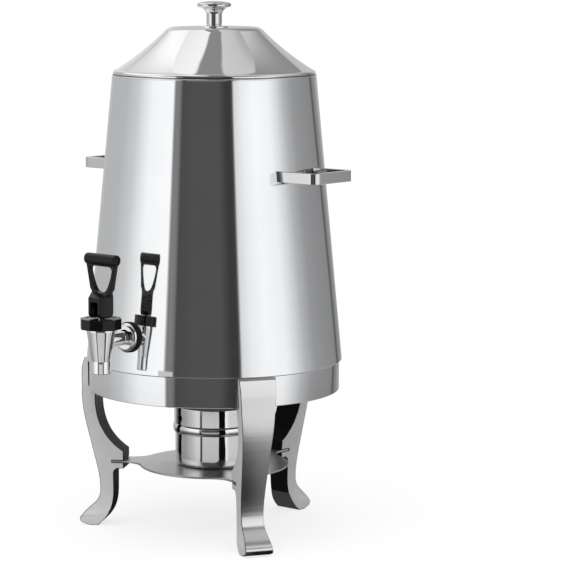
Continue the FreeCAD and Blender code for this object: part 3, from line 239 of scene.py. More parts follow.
def wall_colour(tree):
    """The bands of the round wall, by angle and height, dimmed near the floor."""
    place = add_node(tree, "ShaderNodeTexCoord").outputs["Object"]
    height = add_node(tree, "ShaderNodeSeparateXYZ", {0: place}).outputs["Z"]
    turn = sum_of(tree, "SUBTRACT", angle_round(tree), BAND_PIVOT)
    turn = sum_of(tree, "MULTIPLY", turn, colour_steps(tree, height, BAND_SCALE))
    turn = sum_of(tree, "ADD", turn, BAND_PIVOT)
    bands = colour_steps(tree, turn, by_angle(WALL_BANDS))
    return both(tree, bands, colour_steps(tree, height, FLOOR_SHADE))


def upper_colour(tree):
    """The wall above the urn's height, which only the lid sees."""
    return colour_steps(tree, angle_round(tree), by_angle(UPPER_BANDS))


def round_wall(name, low, height, colour):
    """A glowing open cylinder round the urn that only reflections see."""
    bpy.ops.object.select_all(action="DESELECT")
    bpy.ops.mesh.primitive_cylinder_add(
        vertices=128, radius=WALL_RADIUS, depth=height, end_fill_type="NOTHING",
        location=(0, 0, 0), rotation=(0, 0, CAMERA_TURN - math.radians(90)),
    )
    bpy.ops.object.mode_set(mode="EDIT")
    bpy.ops.transform.translate(value=(0, 0, low + height / 2))
    bpy.ops.object.mode_set(mode="OBJECT")
    reflection_card(name, name + "_glow", colour)


round_wall("round_wall", WALL_FOOT, WALL_HEIGHT, wall_colour)
round_wall("upper_wall", WALL_FOOT + WALL_HEIGHT, UPPER_HEIGHT, upper_colour)
print("round wall with", len(WALL_BANDS), "steps and upper wall with", len(UPPER_BANDS))

# %% [markdown]
# ## The ceiling and the shaded table
# The lid faces upwards, so it shows the ceiling: a broad white panel and a greyer
# one, with a dark gap between them. The legs lean over the table, and a white one would
# wash their castings out. So a round card lies just above the floor, for
# reflections alone, and its dark middle is painted shade that stands for the
# shadowed table under the urn. A slip of pale card in front of the tap puts the
# light back into the straight end of its spout.

# %% Sizes and greys of the ceiling and the dark card
CEILING_SIZE, CEILING_HEIGHT = 18.0, 4.5
CEILING_BANDS = [
    (-9.0, 0.75), (-4.0, 0.82), (-2.4, 0.92), (-0.8, 1.0), (-0.74, 0.27), (0.34, 0.27),
    (0.42, 0.66), (1.7, 0.6), (2.3, 0.5), (3.4, 0.4), (9.0, 0.35),
]
TABLE_RADIUS, TABLE_HEIGHT = 0.745, 0.0004
TABLE_RINGS = [
    (0.0, 0.05), (0.2, 0.1), (0.3, 0.2), (0.38, 0.34), (0.48, 0.58), (0.58, 0.9),
    (0.8, 1.0), (1.0, 0.95),
]
TABLE_BANDS = [
    (-180, 0.55), (-142, 0.5), (-134, 0.12), (-124, 0.12), (-114, 0.3), (-90, 0.36),
    (-66, 0.55), (-50, 0.72), (-40.5, 0.72), (-39.5, 0.06), (-34.5, 0.06), (-33.5, 0.6),
    (14, 0.58), (17, 0.12), (29, 0.05), (30, 0.95), (36, 0.95), (42, 0.68), (180, 0.55),
]


def by_depth(tree, depth, far, low, high):
    """A number that runs from low, on the camera's side of the urn, to high, far behind it."""
    return add_node(tree, "ShaderNodeMapRange", {
        "Value": depth, "From Min": -0.5, "From Max": far, "To Min": low, "To Max": high,
    }).outputs[0]


def ceiling_colour(tree):
    """Two panels with a dark gap that drifts aside towards the camera and narrows behind."""
    place = add_node(tree, "ShaderNodeTexCoord").outputs["Object"]
    apart = add_node(tree, "ShaderNodeSeparateXYZ", {0: place}).outputs
    narrow = by_depth(tree, apart["Y"], 1.6, 1.15, 1.45)
    drift = by_depth(tree, apart["Y"], 1.2, -0.4, 0.0)
    across = sum_of(tree, "ADD", sum_of(tree, "MULTIPLY", apart["X"], narrow), drift)
    share = sum_of(tree, "ADD", sum_of(tree, "DIVIDE", across, CEILING_SIZE), 0.5)
    return colour_steps(tree, share, [(0.5 + x / CEILING_SIZE, level) for x, level in CEILING_BANDS])


def table_colour(tree):
    """Dark in the middle, painted shade for the shadowed table under the urn, lighter outwards, with a few
    dark spokes.
    """
    place = add_node(tree, "ShaderNodeTexCoord").outputs["Object"]
    radius = add_node(tree, "ShaderNodeVectorMath", {0: place}, operation="LENGTH").outputs["Value"]
    rings = colour_steps(tree, sum_of(tree, "DIVIDE", radius, TABLE_RADIUS), TABLE_RINGS)
    return both(tree, rings, colour_steps(tree, angle_round(tree), by_angle(TABLE_BANDS)))


print("ceiling with", len(CEILING_BANDS), "steps, table card of", TABLE_RADIUS, "m")

# %% Hang the ceiling, lay the dark card, stand the slip
SLIP_PLACE, SLIP_TURN = (0.0383, -0.2121, 0.1778), CAMERA_TURN - math.radians(2)
SLIP_WIDE, SLIP_TALL, SLIP_GLOW = 0.048, 0.0115, 0.6
bpy.ops.object.select_all(action="DESELECT")
bpy.ops.mesh.primitive_plane_add(
    size=CEILING_SIZE, location=(0, 0, CEILING_HEIGHT), rotation=(0, 0, CAMERA_TURN),
)
reflection_card("ceiling", "ceiling_panels", ceiling_colour)
bpy.ops.object.select_all(action="DESELECT")
bpy.ops.mesh.primitive_circle_add(
    vertices=64, radius=TABLE_RADIUS, fill_type="NGON",
    location=(0, 0, TABLE_HEIGHT), rotation=(0, 0, CAMERA_TURN - math.radians(90)),
)
# The dark middle of this card is painted shade for the shadowed table under the urn, and only reflections
# see it.
reflection_card("dark_table_card", "painted_table_shade", table_colour)
bpy.ops.object.select_all(action="DESELECT")
bpy.ops.mesh.primitive_plane_add(
    size=1, location=SLIP_PLACE, rotation=(math.radians(90), 0, SLIP_TURN),
)
bpy.ops.transform.resize(value=(SLIP_WIDE, SLIP_WIDE, SLIP_TALL), orient_type="GLOBAL")
bpy.ops.object.transform_apply(location=False, rotation=False, scale=True)
reflection_card("slip_of_white_card", "pale_slip", seen_glow(SLIP_GLOW))
print("slip", round(1000 * SLIP_WIDE), "mm wide")

# %% [markdown]
# ## The lamp
# The cards only make reflections. The black plastic, the satin castings and the
# paper floor need real light. A sun with a very wide disc lights the whole floor
# evenly and leaves a soft shadow under the urn. It is hidden from reflections,
# where the ceiling already stands for it.

# %% Hang the lamp
LAMP_TILT, LAMP_TURN, LAMP_DISC = math.radians(34), math.radians(25), math.radians(70)
LAMP_STRENGTH = 1.25
bpy.ops.object.light_add(type="SUN", location=(0, 0, 2), rotation=(LAMP_TILT, 0, LAMP_TURN))
lamp = bpy.context.object
lamp.name = "soft_overhead_light"
lamp.data.energy = LAMP_STRENGTH
lamp.data.angle = LAMP_DISC
lamp.visible_glossy = False
print("lamp strength", lamp.data.energy)

# %% [markdown]
# ## Polished steel
# The shell, the lid, the ring and the fuel holder are stainless steel sheet,
# buffed to a mirror on a turning wheel. A plain metal shader is too perfect. The
# wheel leaves hair-fine rings round the axis, the sheet is never quite true, and
# handling leaves faint dull patches. Each of these is a noise: one over distance
# from the axis and height, one broad and shallow, one that only varies the gloss.
# The shell and the ring are rolled, so they also get a weld seam up the back, and
# a thin haze: a rough clear coat that softens what they mirror.

# %% Noise helpers
def new_finish(name, metallic=0.0):
    """A material with a Principled shader, ready for its nodes."""
    finish = bpy.data.materials.new(name)
    finish.use_nodes = True
    shader = finish.node_tree.nodes["Principled BSDF"]
    shader.inputs["Metallic"].default_value = metallic
    return finish, finish.node_tree, shader


def ring_noise(tree, centre, fineness):
    """Fine rings round an upright axis through centre."""
    place = add_node(tree, "ShaderNodeTexCoord").outputs["Object"]
    shift = tuple(-value for value in centre)
    place = add_node(tree, "ShaderNodeMapping", {"Vector": place, "Location": shift}).outputs[0]
    apart = add_node(tree, "ShaderNodeSeparateXYZ", {0: place}).outputs
    flat = add_node(tree, "ShaderNodeCombineXYZ", {"X": apart["X"], "Y": apart["Y"]}).outputs[0]
    radius = add_node(tree, "ShaderNodeVectorMath", {0: flat}, operation="LENGTH").outputs["Value"]
    rings = add_node(tree, "ShaderNodeCombineXYZ", {"X": radius, "Y": apart["Z"]}).outputs[0]
    noise = add_node(tree, "ShaderNodeTexNoise", {"Vector": rings, "Scale": fineness, "Detail": 4.0},
                     noise_dimensions="2D")
    return noise.outputs["Fac"]


def soft_noise(tree, scale, detail=2.0, stretch=(1, 1, 1)):
    """A soft cloud noise over the object, stretched along its axes."""
    place = add_node(tree, "ShaderNodeTexCoord").outputs["Object"]
    place = add_node(tree, "ShaderNodeMapping", {"Vector": place, "Scale": stretch}).outputs[0]
    noise = add_node(tree, "ShaderNodeTexNoise", {"Vector": place, "Scale": scale, "Detail": detail})
    return noise.outputs["Fac"]


def between(tree, factor, low, high):
    """A noise turned into numbers between low and high."""
    return add_node(tree, "ShaderNodeMapRange", {
        "Value": factor, "From Min": 0.3, "From Max": 0.7, "To Min": low, "To Max": high,
    }).outputs[0]


def bumped(tree, height, depth, under=None):
    """A bump so many metres deep, laid over another bump."""
    sockets = {"Height": height, "Distance": depth, "Strength": 1.0}
    if under is not None:
        sockets["Normal"] = under
    return add_node(tree, "ShaderNodeBump", sockets).outputs[0]


print("noise helpers ready")

# %% Polished steel
CLOUDS, DULL_PATCHES, WAVES, BUFFING_RINGS = 14.0, 26.0, 11.0, 900.0
SEAM_HALF, SEAM_RIDGE_HALF, SEAM_DULL, SEAM_RISE = 0.0014, 0.001, 0.16, 0.00004


def weld_seam(tree, half_width):
    """One along the upright weld up the back of a rolled piece, else zero."""
    place = add_node(tree, "ShaderNodeTexCoord").outputs["Object"]
    apart = add_node(tree, "ShaderNodeSeparateXYZ", {0: place}).outputs
    aside = add_node(tree, "ShaderNodeMapRange", {
        "Value": sum_of(tree, "ABSOLUTE", apart["X"]),
        "From Min": half_width, "From Max": half_width * 0.4,
    }).outputs[0]
    return sum_of(tree, "MULTIPLY", aside, sum_of(tree, "GREATER_THAN", apart["Y"], 0.0))


def polished_metal(name, shade, gloss, centre=(0, 0, 0), wave=0.00003, rings=0.0000004, seam=False):
    """Buffed metal with rings round a centre; gloss is its lowest and highest roughness."""
    finish, tree, shader = new_finish(name, metallic=1.0)
    dark = tuple(0.965 * c for c in shade)
    tree.links.new(colour_steps(tree, soft_noise(tree, CLOUDS), [(0.35, dark), (0.65, shade)]),
                   shader.inputs["Base Color"])
    dull = between(tree, soft_noise(tree, DULL_PATCHES, 4.0), gloss[0], gloss[1])
    if seam:
        duller = sum_of(tree, "MULTIPLY", weld_seam(tree, SEAM_HALF), SEAM_DULL)
        dull = sum_of(tree, "ADD", dull, duller)
    tree.links.new(dull, shader.inputs["Roughness"])
    normal = bumped(tree, soft_noise(tree, WAVES, 0.0, (1, 1, 0.5)), wave)
    normal = bumped(tree, ring_noise(tree, centre, BUFFING_RINGS), rings, normal)
    if seam:
        normal = bumped(tree, weld_seam(tree, SEAM_RIDGE_HALF), SEAM_RISE, normal)
    tree.links.new(normal, shader.inputs["Normal"])
    return finish


STEEL = (0.91, 0.91, 0.915)
polished_steel = polished_metal("polished_steel", STEEL, (0.035, 0.07))
shell_steel = polished_metal("shell_steel", STEEL, (0.035, 0.07), seam=True)
haze = shell_steel.node_tree.nodes["Principled BSDF"].inputs
haze["Coat Weight"].default_value = 0.6
haze["Coat Roughness"].default_value = 0.3
haze["Coat Tint"].default_value = (0.97, 0.985, 1.0, 1.0)
tray_steel = polished_metal("tray_steel", (0.66, 0.665, 0.67), (0.3, 0.38), wave=0.00001)
handle_steel = polished_metal("handle_steel", (0.74, 0.74, 0.745), (0.05, 0.09), wave=0.000004)
print("polished:", polished_steel.name, shell_steel.name, tray_steel.name)

# %% [markdown]
# ## Chrome, casting and plain steel
# The knob and the tap are plated, which is smoother than buffed sheet, and on the
# tap a shade brighter. The legs are castings: polished in front and left satin at
# the sides, where the casting's skin scatters light like a pale paint does. Their
# inner curve and narrow rounds, and the lid's turned-in edge, get a near-black
# finish that is painted shade. Inside parts and fasteners are plain steel. Two
# recipes with other numbers give them all, so that they look related.

# %% The other metals
TAP_CENTRE = (0, -0.166, 0)
knob_chrome = polished_metal("knob_chrome", (0.8, 0.8, 0.805), (0.03, 0.05), wave=0.000002)
tap_chrome = polished_metal("tap_chrome", (0.93, 0.93, 0.935), (0.03, 0.06), TAP_CENTRE, wave=0.000002)
casting_front = polished_metal("casting_front", (0.8, 0.8, 0.805), (0.2, 0.27), wave=0.000006)
fastener_steel = polished_metal("fastener_steel", (0.62, 0.62, 0.63), (0.2, 0.34), wave=0.000001)


def satin_metal(name, shade, gloss, grain, metallic=1.0):
    """Unpolished metal with a fine tooth, rougher in patches."""
    finish, tree, shader = new_finish(name, metallic)
    dark = tuple(0.93 * c for c in shade)
    tree.links.new(colour_steps(tree, soft_noise(tree, 60.0, 5.0), [(0.3, dark), (0.7, shade)]),
                   shader.inputs["Base Color"])
    dull = between(tree, soft_noise(tree, 240.0, 3.0), gloss[0], gloss[1])
    tree.links.new(dull, shader.inputs["Roughness"])
    tree.links.new(bumped(tree, soft_noise(tree, grain, 3.0), 0.000008), shader.inputs["Normal"])
    return finish


satin_steel = satin_metal("satin_steel", (0.66, 0.66, 0.67), (0.26, 0.38), 900.0)
casting_side = satin_metal("casting_side", (0.93, 0.93, 0.935), (0.4, 0.52), 1400.0, 0.05)
# A near-black finish that is painted shade. The legs' inner curve and narrow rounds and the lid's
# turned-in edge wear it.
casting_inner = satin_metal("casting_inner", (0.02, 0.02, 0.021), (0.25, 0.35), 1400.0, 0.0)
casting_inner.node_tree.nodes["Principled BSDF"].inputs["Specular IOR Level"].default_value = 0.05
print("metals:", [m.name for m in bpy.data.materials if "steel" in m.name or "casting" in m.name])

# %% [markdown]
# ## Plastic, rubber and silicone
# The lever and the bonnet are black moulded plastic with a very fine spark grain,
# which breaks up the highlight. The gasket is dull rubber, and the seals are
# milky silicone that lets a little light in. Black is never quite black: a base
# a little above zero leaves room for shading.

# %% The soft materials
def moulded(name, shade, gloss, grain, depth, shine=0.5):
    """Moulded plastic or rubber with a fine grain."""
    finish, tree, shader = new_finish(name)
    dark = tuple(0.8 * c for c in shade)
    tree.links.new(colour_steps(tree, soft_noise(tree, 90.0, 3.0), [(0.35, dark), (0.65, shade)]),
                   shader.inputs["Base Color"])
    dull = between(tree, soft_noise(tree, 130.0, 3.0), gloss[0], gloss[1])
    tree.links.new(dull, shader.inputs["Roughness"])
    tree.links.new(bumped(tree, soft_noise(tree, grain, 2.0), depth), shader.inputs["Normal"])
    shader.inputs["Specular IOR Level"].default_value = shine
    return finish


black_plastic = moulded("black_plastic", (0.005, 0.005, 0.0055), (0.13, 0.2), 2600.0, 0.000004, 0.28)
black_rubber = moulded("black_rubber", (0.012, 0.012, 0.012), (0.55, 0.7), 1500.0, 0.00002, 0.3)
pale_silicone = moulded("pale_silicone", (0.78, 0.77, 0.73), (0.4, 0.55), 800.0, 0.000008)
milky = pale_silicone.node_tree.nodes["Principled BSDF"].inputs
milky["Subsurface Weight"].default_value = 0.35
milky["Subsurface Radius"].default_value = (0.002, 0.002, 0.0016)
print("soft materials ready")

# %% [markdown]
# ## Finishes for the solids
# A solid whose shape is already right keeps it, and only its material slots are
# filled. The table says which finish each one wears.

# %% Dress the solids
NODE_FINISH = {
    polished_steel: ["stand_ring", "fuel_cup", "fuel_cover", "urn_shell", "lid_shell", "knob_washer"],
    handle_steel: ["handle_right", "handle_left"],
    tray_steel: ["burner_tray"],
    casting_front: ["leg_right", "leg_left", "leg_back"],
    satin_steel: ["urn_bottom", "seat_collar", "lid_skirt"],
    fastener_steel: ["leg_screws", "handle_screws", "knob_screw", "lock_nut", "valve_stem", "valve_spring",
                     "lever_pin"],
    knob_chrome: ["knob"],
    tap_chrome: ["tap_body", "tap_escutcheon"],
    black_plastic: ["tap_bonnet", "tap_lever"],
    black_rubber: ["outer_gasket"],
    pale_silicone: ["handle_seals", "inner_gasket", "top_seal", "seat_cup"],
}
for finish, names in NODE_FINISH.items():
    for name in names:
        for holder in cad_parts[name].material_slots:
            holder.material = finish
print("dressed", sum(len(names) for names in NODE_FINISH.values()), "solids")

# %% [markdown]
# ## Turned pieces
# The shell, the lid, the ring and the knob are round about one axis, because a
# spinner or a lathe made them. We could scale and loop-cut a cylinder into each
# shape, but a lathe is the nearer picture: draw half of the outline as a chain of
# points, then spin it once round the axis. The helpers here draw arcs, round off
# corners, and do the spinning.

# %% Outline helpers
LEFT, RIGHT = 1, -1


def arc(start, end, radius, side, steps):
    """Points of an arc whose centre lies LEFT or RIGHT of the way from start to end."""
    start, end = Vector(start), Vector(end)
    chord = end - start
    rise = math.sqrt(max(radius ** 2 - (chord.length / 2) ** 2, 0.0))
    centre = (start + end) / 2 + Vector((-chord.y, chord.x)).normalized() * rise * side
    first = math.atan2(start.y - centre.y, start.x - centre.x)
    last = math.atan2(end.y - centre.y, end.x - centre.x)
    if (last - first) * side < 0:
        last += 2 * math.pi * side
    angles = [first + (last - first) * step / steps for step in range(steps + 1)]
    return [(centre.x + radius * math.cos(a), centre.y + radius * math.sin(a)) for a in angles]


def rounded(points, corners, steps=4):
    """Round off the corners of a closed outline that are named by their number."""
    outline = []
    for number, point in enumerate(points):
        radius = corners.get(number)
        if radius is None:
            outline.append(point)
            continue
        corner = Vector(point)
        before = (Vector(points[number - 1]) - corner).normalized()
        after = (Vector(points[(number + 1) % len(points)]) - corner).normalized()
        reach = radius / math.tan(before.angle(after) / 2)
        side = LEFT if before.cross(after) < 0 else RIGHT
        bend = arc(corner + before * reach, corner + after * reach, radius, side, steps)
        outline += [tuple(corner + before * reach * 1.6)] + bend + [tuple(corner + after * reach * 1.6)]
    return outline


print("outline helpers ready")

# %% The lathe
MERGE_GAP = 0.000002


def pick(piece):
    """Select one piece and nothing else."""
    bpy.ops.object.select_all(action="DESELECT")
    piece.select_set(True)
    bpy.context.view_layer.objects.active = piece


def open_piece(piece, select="SELECT"):
    """Open a piece in edit mode."""
    pick(piece)
    bpy.ops.object.mode_set(mode="EDIT")
    bpy.ops.mesh.select_mode(type="VERT")
    bpy.ops.mesh.select_all(action=select)


def close_piece(piece, smooth=30):
    """Leave edit mode, smooth all edges flatter than an angle, and let large faces lead the shading."""
    bpy.ops.object.mode_set(mode="OBJECT")
    pick(piece)
    bpy.ops.object.shade_smooth_by_angle(angle=math.radians(smooth))
    even = piece.modifiers.new("even_shading", "WEIGHTED_NORMAL")
    even.keep_sharp = True
    bpy.ops.object.modifier_apply(modifier="even_shading")


def select_faces(piece, test):
    """In edit mode, select only the faces that pass a test."""
    bpy.ops.mesh.select_mode(type="FACE")
    bpy.ops.mesh.select_all(action="DESELECT")
    mesh = bmesh.from_edit_mesh(piece.data)
    mesh.normal_update()
    for face in mesh.faces:
        face.select_set(test(face))
    bmesh.update_edit_mesh(piece.data)


def tidy_surface():
    """Merge doubles and turn all faces outwards."""
    bpy.ops.mesh.select_all(action="SELECT")
    bpy.ops.mesh.remove_doubles(threshold=MERGE_GAP)
    bpy.ops.mesh.normals_make_consistent(inside=False)


def turned_piece(name, outline, steps=192, closed=True, smooth=30):
    """Spin an outline of (radius, height) in millimetres round the urn's axis."""
    bpy.ops.object.select_all(action="DESELECT")
    bpy.ops.mesh.primitive_plane_add(size=0.001, location=(0, 0, 0))
    piece = bpy.context.object
    piece.name = name
    open_piece(piece)
    bpy.ops.mesh.merge(type="CENTER")
    places = [Vector((radius, 0, height)) / 1000 for radius, height in outline]
    if closed:
        places.append(places[0])
    bpy.ops.transform.translate(value=places[0])
    for here, there in zip(places, places[1:]):
        bpy.ops.mesh.extrude_vertices_move(TRANSFORM_OT_translate={"value": there - here})
    bpy.ops.mesh.select_all(action="SELECT")
    bpy.ops.mesh.spin(steps=steps, angle=2 * math.pi, center=(0, 0, 0), axis=(0, 0, 1))
    tidy_surface()
    close_piece(piece, smooth)
    return piece


def placed(piece, body, slot, finish, *nodes):
    """Give a new piece its finish and its body, and hide the solids that it stands for."""
    if finish is not None:
        piece.data.materials.clear()
        piece.data.materials.append(finish)
    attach(piece, body)
    if nodes:
        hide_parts(*nodes)
    print(piece.name, "-", len(piece.data.polygons), "faces")


print("lathe ready")

# %% [markdown]
# ## The shell
# The cone is rolled from sheet and welded up the back, and its mouth is rolled
# over into a small bead that hides the cut edge. The solid has the same shape,
# but the bead and the foot catch the light better with more and softer faces. So
# the shell is spun again with 256 steps, with the bead drawn as an arc and the
# foot's corners rounded.

# %% Spin the shell
FOOT_Z, MOUTH_Z = 177.3, 465.3
FOOT_R, MOUTH_R, SHELL_WALL, BEAD_R = 129.9, 102.7, 1.2, 0.9
TAPER = (FOOT_R - MOUTH_R) / (MOUTH_Z - FOOT_Z)


def shell_radius(height):
    """The shell's outer radius at a height, in millimetres."""
    return FOOT_R - (height - FOOT_Z) * TAPER


bead_z = MOUTH_Z - BEAD_R
bead_r = MOUTH_R - SHELL_WALL / 2
under_bead = bead_z - BEAD_R * 0.8
bead = [(bead_r + BEAD_R * math.cos(math.radians(a)), bead_z + BEAD_R * math.sin(math.radians(a)))
        for a in range(-40, 221, 20)]
foot = rounded([(FOOT_R - SHELL_WALL, FOOT_Z), (FOOT_R, FOOT_Z), (shell_radius(under_bead), under_bead),
                (shell_radius(under_bead) - SHELL_WALL, under_bead)], {0: 0.4, 1: 0.5})
shell = turned_piece("shell_of_rolled_sheet", foot[:-1] + bead + foot[-1:], steps=256)
placed(shell, "urn", "polished_steel", shell_steel, "urn_shell")

# %% [markdown]
# ## The lid
# The lid is pressed from one disc: an upright rim, a hollow slope, a soft
# shoulder and a flat top under the knob. Only its outside is drawn. After the
# spin a Solidify modifier gives the sheet its millimetre, inwards, as the press
# keeps the sheet's thickness all over. The lower edge is turned in, and its
# faces get the near-black finish: painted shade that draws the dark line between
# the lid and the shell.

# %% Spin the lid
LID_Z, LID_SHEET, TURNED_IN_TALL = 465.6, 0.001, 0.75
lid_outline = arc((101.0, LID_Z + 0.03), (102.0, LID_Z + 1.03), 1.0, LEFT, 6)
lid_outline += arc((102.0, LID_Z + 1.65), (99.1, LID_Z + 4.2), 3.4, LEFT, 8)
lid_outline += arc((99.1, LID_Z + 4.2), (50.5, LID_Z + 42.2), 273, RIGHT, 24)[1:]
lid_outline += arc((50.5, LID_Z + 42.2), (42.0, LID_Z + 47.0), 12.5, LEFT, 10)[1:]
lid_outline += [(30.0, LID_Z + 47.0), (16.0, LID_Z + 47.0), (2.8, LID_Z + 47.0)]
lid = turned_piece("pressed_lid", lid_outline, steps=256, closed=False)
sheet = lid.modifiers.new("sheet", "SOLIDIFY")
sheet.thickness = LID_SHEET
sheet.offset = -1
bpy.ops.object.modifier_apply(modifier="sheet")
lid.data.materials.append(polished_steel)
# The turned-in edge gets the near-black finish, painted shade for the dark seam line.
lid.data.materials.append(casting_inner)
open_piece(lid, "DESELECT")
select_faces(lid, lambda face: face.calc_center_median().z * 1000 < LID_Z + TURNED_IN_TALL)
lid.active_material_index = 1
bpy.ops.object.material_slot_assign()
close_piece(lid)
placed(lid, "lid", "polished_steel", None, "lid_shell")

# %% [markdown]
# ## The ring and the knob
# The stand's ring is a band with a narrow ledge turned in at its top, where the
# urn sits. The knob is turned from bar: a groove at its foot, a straight stem
# that flares, and a thick domed disc. The ring's outline is closed and the knob's
# ends on the axis, so the spin alone makes both solid. The corners get the small
# rounds that polishing leaves.

# %% Spin the ring and the knob
ring_corners = [
    (127.3, 147.0), (127.3, 177.0), (120.8, 177.0), (120.8, 175.5), (125.8, 175.5), (125.8, 147.0),
]
ring_outline = rounded(ring_corners, {0: 0.5, 1: 0.8, 2: 0.5, 3: 0.5, 4: 1.2, 5: 0.5})
ring = turned_piece("ring_of_the_stand", ring_outline, steps=256)
placed(ring, "stand", "polished_steel", shell_steel, "stand_ring")

KNOB_Z = 513.6
KNOB_TOP = KNOB_Z + 24.7
knob_outline = [(0.0, KNOB_Z), (7.5, KNOB_Z), (7.8, KNOB_Z + 0.3), (7.8, KNOB_Z + 0.9)]
knob_outline += arc((7.8, KNOB_Z + 0.9), (7.8, KNOB_Z + 2.3), 0.75, RIGHT, 6)
knob_outline += [(7.8, KNOB_Z + 3.2), (7.8, KNOB_Z + 8.0), (7.8, KNOB_Z + 11.0)]
knob_outline += arc((7.8, KNOB_Z + 12.0), (16.2, KNOB_TOP - 5.6), 9.5, RIGHT, 14)
knob_outline += arc((16.2, KNOB_TOP - 5.6), (15.9, KNOB_TOP - 1.7), 2.3, LEFT, 10)[1:]
knob_outline += arc((15.9, KNOB_TOP - 1.7), (3.0, KNOB_TOP), 48, LEFT, 10)[1:] + [(0.0, KNOB_TOP)]
knob = turned_piece("turned_knob", knob_outline, steps=96, closed=False, smooth=40)
placed(knob, "lid", "chrome", knob_chrome, "knob")

# %% [markdown]
# ## Working from a solid
# Some pieces need only softer edges than their solid has. A solid's mesh is loose
# triangles, so a copy of it is merged first. After that it behaves like any
# hand-made mesh, and a bevel can run along its edges. A second piece can also cut
# it, as a saw or a drill does.

# %% Copy helpers
def merged_copy(node, name):
    """A new piece from a solid's mesh, merged and open in edit mode."""
    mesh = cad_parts[node].data.copy()
    mesh.materials.clear()
    piece = bpy.data.objects.new(name, mesh)
    bpy.context.scene.collection.objects.link(piece)
    open_piece(piece)
    bpy.ops.mesh.remove_doubles(threshold=MERGE_GAP)
    bpy.ops.mesh.customdata_custom_splitnormals_clear()
    bpy.ops.mesh.normals_make_consistent(inside=False)
    return piece


def with_bevel(piece, width, segments=3):
    """Round the sharp edges of a piece, by a width in millimetres."""
    edge = piece.modifiers.new("soft_edges", "BEVEL")
    edge.width = width / 1000
    edge.segments = segments
    edge.limit_method = "ANGLE"
    edge.angle_limit = math.radians(35)
    edge.use_clamp_overlap = False
    bpy.ops.object.modifier_apply(modifier="soft_edges")


def cut_with(piece, tool, operation):
    """Keep what a piece shares with a tool, or take the tool out of it, then drop the tool."""
    pick(piece)
    cut = piece.modifiers.new("cut", "BOOLEAN")
    cut.operation = operation
    cut.solver = "EXACT"
    cut.object = tool
    bpy.ops.object.modifier_apply(modifier="cut")
    bpy.data.objects.remove(tool)


print("copy helpers ready")

# %% [markdown]
# ## The cast legs
# A cabriole leg has two outlines: an S-curve from the side and a gentle taper
# with a flared toe from the front. It could be pushed out of one box, but the
# two outlines would fight each other. Instead the middle section of the solid
# gives the side outline, which is pulled out into a thick plate. A second plate,
# drawn from the front, is intersected with it, and what they share is the leg.
# A bevel then rounds every edge as the polisher's belt does. The sides keep
# their satin casting skin, the narrow rounds and the inner curve get a
# near-black painted shade, and the front is polished.

# %% Cut the side plate
PLATE_HALF = 0.025
leg = merged_copy("leg_back", "cast_leg_back")
bpy.ops.mesh.bisect(
    plane_co=(0, 0, 0), plane_no=(1, 0, 0), use_fill=True, clear_inner=True, clear_outer=True,
)
bpy.ops.mesh.select_all(action="SELECT")
bpy.ops.mesh.remove_doubles(threshold=0.00002)
bpy.ops.transform.translate(value=(-PLATE_HALF, 0, 0))
bpy.ops.mesh.extrude_region_move(TRANSFORM_OT_translate={"value": (2 * PLATE_HALF, 0, 0)})
tidy_surface()
bpy.ops.object.mode_set(mode="OBJECT")
print("side plate:", len(leg.data.polygons), "faces")

# %% Draw the front plate
LEG_WIDTHS = [
    (-2.0, 29.4), (0.0, 29.2), (4.0, 29.1), (8.7, 28.6), (12.0, 27.7), (16.0, 26.0),
    (20.8, 24.4), (27.0, 23.5), (34.0, 23.3), (41.0, 23.6), (50.0, 24.3), (58.0, 25.0),
    (67.0, 25.7), (77.0, 26.6), (87.0, 27.6), (97.0, 28.6), (106.0, 29.7), (115.0, 31.0),
    (124.0, 32.3), (133.0, 33.6), (145.0, 35.1), (160.0, 36.6), (176.4, 38.0), (179.0, 38.2),
]
bpy.ops.object.select_all(action="DESELECT")
bpy.ops.mesh.primitive_plane_add(size=1, location=(0, 0, 0))
front = bpy.context.object
front.name = "front_plate"
open_piece(front)
bpy.ops.transform.resize(value=(LEG_WIDTHS[0][1] / 1000, 0.4, 1))
bpy.ops.transform.translate(value=(0, 0, LEG_WIDTHS[0][0] / 1000))
for (low_z, low_width), (high_z, high_width) in zip(LEG_WIDTHS, LEG_WIDTHS[1:]):
    bpy.ops.mesh.extrude_region_move(TRANSFORM_OT_translate={"value": (0, 0, (high_z - low_z) / 1000)})
    bpy.ops.transform.resize(value=(high_width / low_width, 1, 1), center_override=(0, 0, 0))
bpy.ops.mesh.select_all(action="SELECT")
bpy.ops.mesh.normals_make_consistent(inside=False)
bpy.ops.object.mode_set(mode="OBJECT")
print("front plate:", len(front.data.polygons), "faces")

# %% Intersect, bevel and copy the legs
def on_inner_side(face):
    """A face of the leg's inner curve, between the toe and the ring."""
    looks_in = face.normal.y < -0.3 and abs(face.normal.x) < 0.3
    return looks_in and 0.02 < face.calc_center_median().z < 0.1765


cut_with(leg, front, "INTERSECT")
with_bevel(leg, 0.7)
leg_skins = [
    (casting_front, lambda face: True),
    (casting_side, lambda face: abs(face.normal.x) > 0.97),
    # The narrow rounds and the inner curve get the near-black painted shade.
    (casting_inner, lambda face: 0.3 < abs(face.normal.x) < 0.97 or on_inner_side(face)),
]
open_piece(leg, "DESELECT")
for number, (skin, test) in enumerate(leg_skins):
    leg.data.materials.append(skin)
    select_faces(leg, test)
    leg.active_material_index = number
    bpy.ops.object.material_slot_assign()
close_piece(leg)


def leg_at(turn, name, node):
    """A copy of the back leg, turned about the urn's axis, with its own mesh."""
    copy = leg.copy()
    copy.data = leg.data.copy()
    copy.name = name
    bpy.context.scene.collection.objects.link(copy)
    pick(copy)
    copy.rotation_euler = (0, 0, math.radians(turn))
    bpy.ops.object.transform_apply(location=False, rotation=True, scale=False)
    placed(copy, "stand", "polished_casting", None, node)


